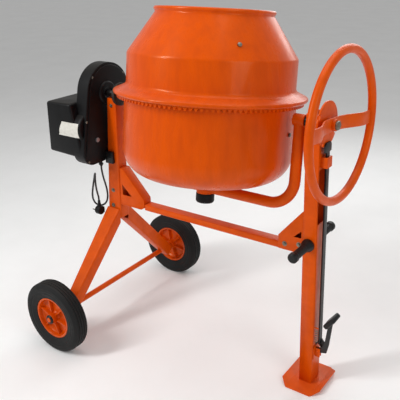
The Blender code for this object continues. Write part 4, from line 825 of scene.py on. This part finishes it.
class MIXER_OT_tilt_wheel(bpy.types.Operator):
    """Makes the tilt wheel's ring and strap, its hub bolt and the notched lock disc"""

    bl_idname = "mixer.tilt_wheel"
    bl_label = "Tilt wheel"

    def execute(self, context):
        self.wheel()
        self.hub_bolt()
        soft_copy("lock_disc", frame_enamel(), 0.0008, 2)
        return {"FINISHED"}

    def wheel(self):
        lean = Matrix.Translation((0, 0, TILT_Z)) @ Matrix.Rotation(WHEEL_TURN - LEAN, 4, "X")
        ring = bmesh.new()
        bmesh.ops.create_circle(ring, segments=28, radius=WHEEL_TUBE_R)
        bmesh.ops.rotate(ring, matrix=Matrix.Rotation(math.pi / 2, 3, "X"), verts=ring.verts)
        bmesh.ops.translate(ring, vec=(WHEEL_RING_R, 0, 0), verts=ring.verts)
        bmesh.ops.spin(ring, geom=ring.verts[:] + ring.edges[:], cent=(0, 0, 0), axis=(0, 0, 1),
                       angle=2 * math.pi, steps=128, use_merge=True, use_duplicate=False)
        bmesh.ops.remove_doubles(ring, verts=ring.verts, dist=0.000001)
        bmesh.ops.recalc_face_normals(ring, faces=ring.faces)
        bmesh.ops.transform(ring, matrix=along_x(WHEEL_RING_X, 0, 0), verts=ring.verts)
        strap = bmesh.new()
        bmesh.ops.create_grid(strap, x_segments=60, y_segments=1, size=1.0)
        for vert in strap.verts:
            y = vert.co.x * WHEEL_RING_R
            share = min(max((abs(y) - STRAP_FLAT) / STRAP_BEND, 0.0), 1.0)
            x = WHEEL_HUB_X + (WHEEL_RING_X - WHEEL_HUB_X) * share * share * (3 - 2 * share)
            vert.co = (x + STRAP_THICK / 2, y, vert.co.y * STRAP_HALF)
        strap.normal_update()
        bmesh.ops.solidify(strap, geom=strap.faces[:], thickness=STRAP_THICK)
        bmesh.ops.recalc_face_normals(strap, faces=strap.faces)
        soften(strap, 0.0012, 2, 60)
        hub = bush_of(WHEEL_HUB_R, SHAFT_R + GAP, -HUB_HALF, HUB_HALF)
        hub = turned(eased(hub, 0.0015, closed=True), along_x(WHEEL_HUB_X, 0, 0), 48, closed=True)
        wheel = together(ring, strap, hub)
        bmesh.ops.transform(wheel, matrix=lean, verts=wheel.verts)
        piece("tilt_wheel_tube", wheel, frame_enamel(), ("tilt_wheel",))

    def hub_bolt(self):
        radius, thick = 0.0155, 0.009
        nut = bmesh.new()
        bmesh.ops.create_cone(nut, cap_ends=True, segments=6, radius1=radius, radius2=radius,
                              depth=thick)
        soften(nut, 0.0012, 2)
        x = min(WHEEL_HUB_X + HUB_HALF + 0.006, high("tilt_shaft").x - 0.003)
        bmesh.ops.transform(nut, matrix=along_x(x, 0, TILT_Z), verts=nut.verts)
        piece("tilt_hub_nut", nut, zinc_plate(), body="yoke")


# ---- Column ---------------------------------------------------------------------------------
class MIXER_OT_column(bpy.types.Operator):
    """Makes the column, its foot, the handle bar and the grips"""

    bl_idname = "mixer.column"
    bl_label = "Column and handles"

    def execute(self, context):
        corner = context.scene.mixer_sizes.tube_corner
        half_y = span("column").y / 2

        def outer_upright(edge):
            first, second = edge.verts
            upright = abs(first.co.z - second.co.z) > 0.9 * edge.calc_length()
            return upright and abs(first.co.y) > half_y - 0.001
        soft_copy("column", frame_enamel(), corner, 4, 60,
                  wanted=outer_upright)
        soft_copy("foot_plate", frame_enamel(), 0.0014, 2)
        centre = middle("handle_bar")
        bar = eased(bar_of(0.008, low("handle_bar").y, high("handle_bar").y), 0.001)
        piece("handle_bar_finished", turned(bar, along_y(centre.x, 0, centre.z), 32),
              drawn_steel(), ("handle_bar",))
        self.grips(context)
        return {"FINISHED"}

    def grips(self, context):
        rings = context.scene.mixer_sizes.grip_rings
        centre = middle("handle_bar")
        for name, way in (("grip_front", -1), ("grip_rear", 1)):
            start, end = reach(name)
            radius, bore, knob = 0.0135, 0.0083, 0.0175
            shape = [(0, end), (radius, end), (knob, end - 0.004), (knob, end - 0.020),
                     (radius, end - 0.026)]
            first, last = end - 0.030, start + 0.038
            for ring in range(rings):
                at = first + (last - first) * ring / max(rings - 1, 1)
                shape += [(radius, at + 0.0022), (radius + 0.0012, at + 0.0008),
                          (radius + 0.0012, at - 0.0008), (radius, at - 0.0022)]
            shape += [(radius, start + 0.034), (radius + 0.009, start + 0.010),
                      (radius + 0.009, start), (bore, start), (bore, end - 0.0055),
                      (0, end - 0.0055)]
            work = turned(eased(shape, 0.002), along_y(centre.x, 0, centre.z, way), 48)
            piece(f"{name}_finished", work, grip_vinyl(), (name,))


# ---- Lock and pedal -------------------------------------------------------------------------
class MIXER_OT_lock(bpy.types.Operator):
    """Makes the lock rod with its guide, and the pedal with its pad and bracket"""

    bl_idname = "mixer.lock"
    bl_label = "Lock and pedal"

    def execute(self, context):
        for node, material, width, segments, slot in (
                ("lock_rod", black_lacquer(), 0.0007, 2, "black_steel"),
                ("lock_guide", frame_enamel(), 0.0015, 3, "orange_enamel"),
                ("pedal_bracket", frame_enamel(), 0.0006, 2, "orange_enamel"),
                ("foot_pedal", black_lacquer(), 0.0007, 2, "black_steel"),
                ("pedal_pad", grip_vinyl(), 0.0012, 2, "grip_rubber")):
            soft_copy(node, material, width, segments)
        repaint("return_spring", zinc_plate())
        return {"FINISHED"}


# ---- Beam, post and legs --------------------------------------------------------------------
class MIXER_OT_frame(bpy.types.Operator):
    """Makes the beam, the post, the gussets, the legs, the axle and their bolts"""

    bl_idname = "mixer.frame"
    bl_label = "Frame"

    def execute(self, context):
        corner = context.scene.mixer_sizes.tube_corner

        def long_edge(edge):
            return edge.calc_length() > 0.25
        for name, width, sharp, wanted in (
                ("beam", 0.0020, 30, None), ("post", 0.0045, 60, long_edge),
                ("column_gusset", 0.0018, 30, None), ("post_gusset", 0.0018, 30, None)):
            soft_copy(name, frame_enamel(), width, 3, sharp, wanted=wanted)
        for name in ("leg_front", "leg_rear"):
            soft_copy(name, frame_enamel(), corner, 4, 20,
                      wanted=long_edge)
        self.axle()
        self.bearing()
        self.bolts()
        return {"FINISHED"}

    def axle(self):
        centre, end = middle("axle"), high("axle").y
        shoulder, journal, body = 0.3414, 0.010, 0.011
        bar = [(0, end), (journal, end), (journal, shoulder), (body, shoulder),
               (body, -shoulder), (journal, -shoulder), (journal, -end), (0, -end)]
        piece("axle_bar", turned(eased(bar, 0.0008), along_y(centre.x, 0, centre.z), 40),
              frame_enamel(), ("axle",))

    def bearing(self):
        start, end = low("pinion_bearing").x, high("pinion_bearing").x
        bore, flange, boss = SHAFT_R + 2 * GAP, 0.045, 0.030
        shape = [(flange, start), (flange, start + 0.012), (boss, start + 0.016), (boss, end),
                 (bore, end), (bore, start)]
        piece("pinion_bearing_finished",
              turned(eased(shape, 0.0015, closed=True), along_x(0, 0, TILT_Z), 64, closed=True),
              cast_iron(), ("pinion_bearing",))

    def bolts(self):
        small, large = (0.008, 0.004, 0.0075), (0.010, 0.0045, 0.009)
        heads = [hex_bolt(along_y(x, low(node).y, z, -1), *size) for node, x, z, size in (
            ("post", -0.867, 0.926, small), ("post", -0.8935, 0.565, large),
            ("post", -0.8995, 0.497, large), ("column_gusset", -0.040, 0.545, large),
            ("column_gusset", -0.094, 0.535, large))]
        piece("frame_bolts", together(*heads), zinc_plate(), body="frame")


# ---- Road wheels ----------------------------------------------------------------------------
class MIXER_OT_road_wheels(bpy.types.Operator):
    """Makes the two ribbed wheels with grooved tyres and push-on axle caps"""

    bl_idname = "mixer.road_wheels"
    bl_label = "Road wheels"

    def execute(self, context):
        for name, side in (("front", -1), ("rear", 1)):
            self.tyre(context, name)
            self.rim(context, name)
            self.cap(name, side)
        return {"FINISHED"}

    def tyre(self, context, name):
        sizes = context.scene.mixer_sizes
        centre, size = middle(f"tyre_{name}"), span(f"tyre_{name}")
        radius, half = size.x / 2, size.y / 2
        bead = 0.0858
        tread = half - 0.008
        deep = 0.003
        top = [(radius - deep, tread)]
        count = sizes.tread_grooves
        for groove in range(count):
            at = tread * (1 - 2 * (groove + 0.5) / count) * 0.92
            wide = sizes.groove_width / 2
            top += [(radius, at + wide), (radius - deep, at + wide * 0.6),
                    (radius - deep, at - wide * 0.6), (radius, at - wide)]
        top += [(radius - deep, -tread)]
        side = [(radius - 0.013, half - 0.0012), (radius - 0.016, half),
                (radius - 0.030, half), (radius - 0.033, half - 0.0018),
                (radius - 0.040, half - 0.0018), (bead + 0.006, half - 0.006),
                (bead + 0.001, half - 0.007), (bead, half - 0.010)]
        other = [(r, -h) for r, h in side]
        profile = top + other + list(reversed(side))
        work = turned(eased(profile, 0.0012, closed=True), along_y(*centre), 96, closed=True)
        piece(f"tyre_{name}_finished", work, tyre_rubber(), (f"tyre_{name}",))

    def rim(self, context, name):
        centre, half = middle(f"rim_{name}"), 0.033
        outer, bore, hub = 0.0855, 0.0103, span(f"rim_{name}").y / 2
        web = 0.004
        face = [(outer, half - 0.009), (outer - 0.003, half - 0.0085),
                (outer - 0.008, half - 0.010), (outer - 0.012, web + 0.006),
                (outer - 0.020, web), (0.027, web + 0.003), (0.0215, web + 0.010), (0.021, hub),
                (bore, hub)]
        profile = face + [(r, -h) for r, h in reversed(face)]
        work = turned(eased(profile, 0.0018, closed=True), steps=96, closed=True)
        count = context.scene.mixer_sizes.rim_ribs
        for rib in range(count):
            for way in (-1, 1):
                turn = Matrix.Rotation(2 * math.pi * (rib + 0.25) / count, 4, "Z")
                shape = block((0.056, 0.011, 0.016), (0, 0, 0), 0)
                for vert in shape.verts:
                    # The rib's crest is thinner than its foot, and slopes up to the hub.
                    if vert.co.z * way > 0:
                        vert.co.y *= 0.45
                        vert.co.z += way * (-0.001 if vert.co.x > 0 else 0.0045)
                bmesh.ops.translate(shape, vec=(0.047, 0, way * (web + 0.005)),
                                    verts=shape.verts)
                soften(shape, 0.0015, 2, 20)
                bmesh.ops.transform(shape, matrix=turn, verts=shape.verts)
                together(work, shape)
        bmesh.ops.transform(work, matrix=along_y(*centre), verts=work.verts)
        piece(f"rim_{name}_finished", work, wheel_plastic(), (f"rim_{name}",))

    def cap(self, name, side):
        node = f"axle_cap_{name}"
        centre = middle(node)
        inner, outer = reach(node)
        place = along_y(centre.x, 0, centre.z, side)
        ring = eased([(0.0185, inner), (0.0185, inner + 0.002), (0.0150, outer - 0.002),
                      (0.0112, outer - 0.001), (0.0104, inner + 0.004), (0.0103, inner)],
                     0.0006, closed=True)
        piece(f"{node}_finished", turned(ring, place, 48, closed=True), grip_vinyl(), (node,))
        button = eased([(0, outer), (0.0086, outer), (0.0100, outer - 0.0018),
                        (0.0100, inner + 0.001), (0, inner + 0.001)], 0.0006)
        piece(f"axle_end_{name}", turned(button, place, 40), frame_enamel(), body="frame")


# ---- Belt and motor covers ------------------------------------------------------------------
# The case's outline is the skin round three circles: their middles (Y, Z) and radii.
CASE_CIRCLES = (((0.014, 0.971), 0.115), ((-0.098, 0.748), 0.052), ((-0.050, 0.748), 0.052))
CASE_FRONT, CASE_REAR = high("belt_case_cover").x, low("belt_case_cover").x
BACK_FACE = low("belt_case_back").x + SHEET
CASE_SCREWS = ((-0.067, 1.040), (-0.120, 0.875), (-0.127, 0.714), (0.102, 1.029),
               (0.080, 0.880), (0.020, 0.730))
# The motor's round end shows as a bulge under the cover.
BULGE_R, BULGE_Z = 0.0665, 0.842


def hull_of(work):
    """Keeps only the tight skin round a shape's points."""
    made = bmesh.ops.convex_hull(work, input=work.verts)
    spare = [g for g in made["geom_interior"] + made["geom_unused"] if isinstance(
        g, bmesh.types.BMVert)]
    bmesh.ops.delete(work, geom=list(set(spare)), context="VERTS")
    keep = {g for g in made["geom"] if isinstance(g, bmesh.types.BMFace)}
    old = [f for f in work.faces if f not in keep]
    bmesh.ops.delete(work, geom=old, context="FACES")
    bmesh.ops.recalc_face_normals(work, faces=work.faces)
    return work


def case_block(start, end, inset=0.0):
    """The belt case's outline as a solid between two places along X."""
    work = bmesh.new()
    for (y, z), radius in CASE_CIRCLES:
        made = bmesh.ops.create_cone(work, cap_ends=False, segments=96, radius1=radius - inset,
                                     radius2=radius - inset, depth=abs(end - start))
        bmesh.ops.transform(work, matrix=along_x((start + end) / 2, y, z),
                            verts=made["verts"])
    hull_of(work)
    bmesh.ops.dissolve_limit(work, angle_limit=math.radians(1), verts=work.verts,
                             edges=work.edges)
    return work


class MIXER_OT_covers(bpy.types.Operator):
    """Makes the moulded belt case and motor cover, with screws, a boss and a blank label"""

    bl_idname = "mixer.covers"
    bl_label = "Belt and motor covers"

    def execute(self, context):
        self.back_shell()
        cover = self.moulding()
        self.label(cover)
        piece("belt_and_motor_cover", cover, case_plastic(),
              ("belt_case_cover", "motor_cover"))
        self.screws()
        return {"FINISHED"}

    def back_shell(self):
        face, bore = BACK_FACE, 0.012
        flange = soften(case_block(face - SHEET, face), 0.0022, 3, 60)
        step = soften(case_block(face - 0.001, face + 0.0035, 0.010), 0.0020, 3, 60)
        bulge = [(0.046, face), (0.045, face + 0.006), (0.040, face + 0.0115),
                 (0.022, face + 0.0115), (0.020, face + 0.008), (bore, face + 0.008),
                 (bore, face)]
        bulge = turned(eased(bulge, 0.002, closed=True), along_x(0, 0, TILT_Z), 72, closed=True)
        piece("belt_case_back_finished", together(flange, step, bulge), case_plastic(),
              ("belt_case_back",))

    def moulding(self):
        front, back, far = CASE_FRONT, CASE_REAR, low("motor_cover").x
        case = soften(case_block(back, front), 0.009, 4, 60,
                      lambda edge: all(v.co.x < back + 0.001 for v in edge.verts))
        near, rear = low("motor_cover").y, high("motor_cover").y
        under, top = low("motor_cover").z, high("motor_cover").z
        nose = bmesh.new()
        # Each corner: how far out it is, its place across and its height.
        for corner in ((far - 0.001, near + 0.004, top - 0.002),
                       (far + 0.004, rear - 0.008, top - 0.002),
                       (far - 0.009, near + 0.004, under + 0.010),
                       (far + 0.004, rear - 0.014, under + 0.012),
                       (back + 0.004, near + 0.004, top), (back + 0.004, rear, top),
                       (front - 0.016, near + 0.002, under + 0.004),
                       (front - 0.016, near + 0.002, under + 0.050),
                       (front - 0.016, rear, under + 0.004)):
            nose.verts.new(corner)
        hull_of(nose)
        bmesh.ops.dissolve_limit(nose, angle_limit=math.radians(2), verts=nose.verts,
                                 edges=nose.edges)
        soften(nose, 0.010, 5, 10)
        bulge = [(0, far + 0.050), (BULGE_R - 0.0165, far + 0.050),
                 (BULGE_R - 0.0005, far + 0.062), (BULGE_R, front - 0.016),
                 (BULGE_R - 0.0045, front - 0.007), (0, front - 0.007)]
        bulge = turned(eased(bulge, 0.008), along_x(0, near + BULGE_R - 0.001, BULGE_Z), 96)
        return together(case, nose, bulge)

    def label(self, cover):
        tree = BVHTree.FromBMesh(cover)
        work = bmesh.new()
        bmesh.ops.create_grid(work, x_segments=28, y_segments=12, size=0.5)
        right, left_low, slant = -0.932, -1.045, 0.023
        under, over, proud, thick = 0.815, 0.872, 0.0006, 0.0005
        for vert in work.verts:
            up = vert.co.y + 0.5
            left = left_low + slant * up
            x = right + (vert.co.x - 0.5) * (right - left)
            z = under + up * (over - under)
            hit = tree.ray_cast(Vector((x, -0.5, z)), Vector((0, 1, 0)))[0]
            if hit is None:
                raise RuntimeError("the label has nothing under it")
            vert.co = hit + Vector((0, -proud, 0))
        work.normal_update()
        bmesh.ops.solidify(work, geom=work.faces[:], thickness=thick)
        bmesh.ops.recalc_face_normals(work, faces=work.faces)
        piece("blank_label", work, label_vinyl(), body="frame")

    def screws(self):
        heads = [socket_screw(along_x(BACK_FACE, y, z), 0.0048) for y, z in CASE_SCREWS]
        piece("case_screws", together(*heads), zinc_plate(), body="frame")
        boss = eased([(0, 0.006), (0.009, 0.006), (0.010, 0.0), (0.010, -0.002), (0, -0.002)],
                     0.001)
        piece("case_boss", turned(boss, along_x(BACK_FACE + 0.003, -0.076, 0.794), 32),
              motor_alloy(), body="frame")


# ---- Switch and inner works -----------------------------------------------------------------
class MIXER_OT_switch(bpy.types.Operator):
    """Makes the switch on the end of the motor cover"""

    bl_idname = "mixer.switch"
    bl_label = "Switch"

    def execute(self, context):
        soft_copy("switch_body", case_plastic(), 0.0014, 3)
        soft_copy("start_button", button_plastic("moulded_green_polycarbonate", "#1f8a3b",
                                                 "#1b7d35"), 0.0012, 3)
        soft_copy("stop_button", button_plastic("moulded_red_polycarbonate", "#c11d1a",
                                                "#b01816"), 0.0012, 3)
        return {"FINISHED"}


class MIXER_OT_inner_works(bpy.types.Operator):
    """Gives the drive inside the covers its finishes"""

    bl_idname = "mixer.inner_works"
    bl_label = "Inner works"

    def execute(self, context):
        for node in ("pinion", "belt_pulley"):
            repaint(node, cast_iron())
        for node in ("pinion_shaft", "motor_rotor"):
            repaint(node, drawn_steel())
        repaint("motor", motor_alloy())
        repaint("motor_pulley", zinc_plate())
        repaint("drive_belt", tyre_rubber())
        return {"FINISHED"}


# ---- Panel and running ----------------------------------------------------------------------
OPERATORS = (MIXER_OT_stage, MIXER_OT_cord, MIXER_OT_drum, MIXER_OT_yoke, MIXER_OT_tilt_wheel,
             MIXER_OT_column, MIXER_OT_lock, MIXER_OT_frame, MIXER_OT_road_wheels,
             MIXER_OT_covers, MIXER_OT_switch, MIXER_OT_inner_works)


class MIXER_PT_panel(bpy.types.Panel):
    """Lists the mixer's pieces, sizes and colours"""

    bl_idname = "MIXER_PT_panel"
    bl_label = "Concrete mixer"
    bl_space_type = "VIEW_3D"
    bl_region_type = "UI"
    bl_category = "Mixer"

    def draw(self, context):
        for group in (context.scene.mixer_finish, context.scene.mixer_sizes,
                      context.scene.mixer_stage):
            for name in group.__annotations__:
                self.layout.prop(group, name)
        for operator in OPERATORS:
            self.layout.operator(operator.bl_idname)


CLASSES = (MixerFinish, MixerSizes, MixerStage, *OPERATORS, MIXER_PT_panel)


def register():
    for item in CLASSES:
        bpy.utils.register_class(item)
    bpy.types.Scene.mixer_finish = PointerProperty(type=MixerFinish)
    bpy.types.Scene.mixer_sizes = PointerProperty(type=MixerSizes)
    bpy.types.Scene.mixer_stage = PointerProperty(type=MixerStage)


def unregister():
    del bpy.types.Scene.mixer_stage
    del bpy.types.Scene.mixer_sizes
    del bpy.types.Scene.mixer_finish
    for item in reversed(CLASSES):
        bpy.utils.unregister_class(item)


def main():
    register()
    for operator in OPERATORS:
        group, name = operator.bl_idname.split(".")
        getattr(getattr(bpy.ops, group), name)()


if __name__ == "__main__":
    main()
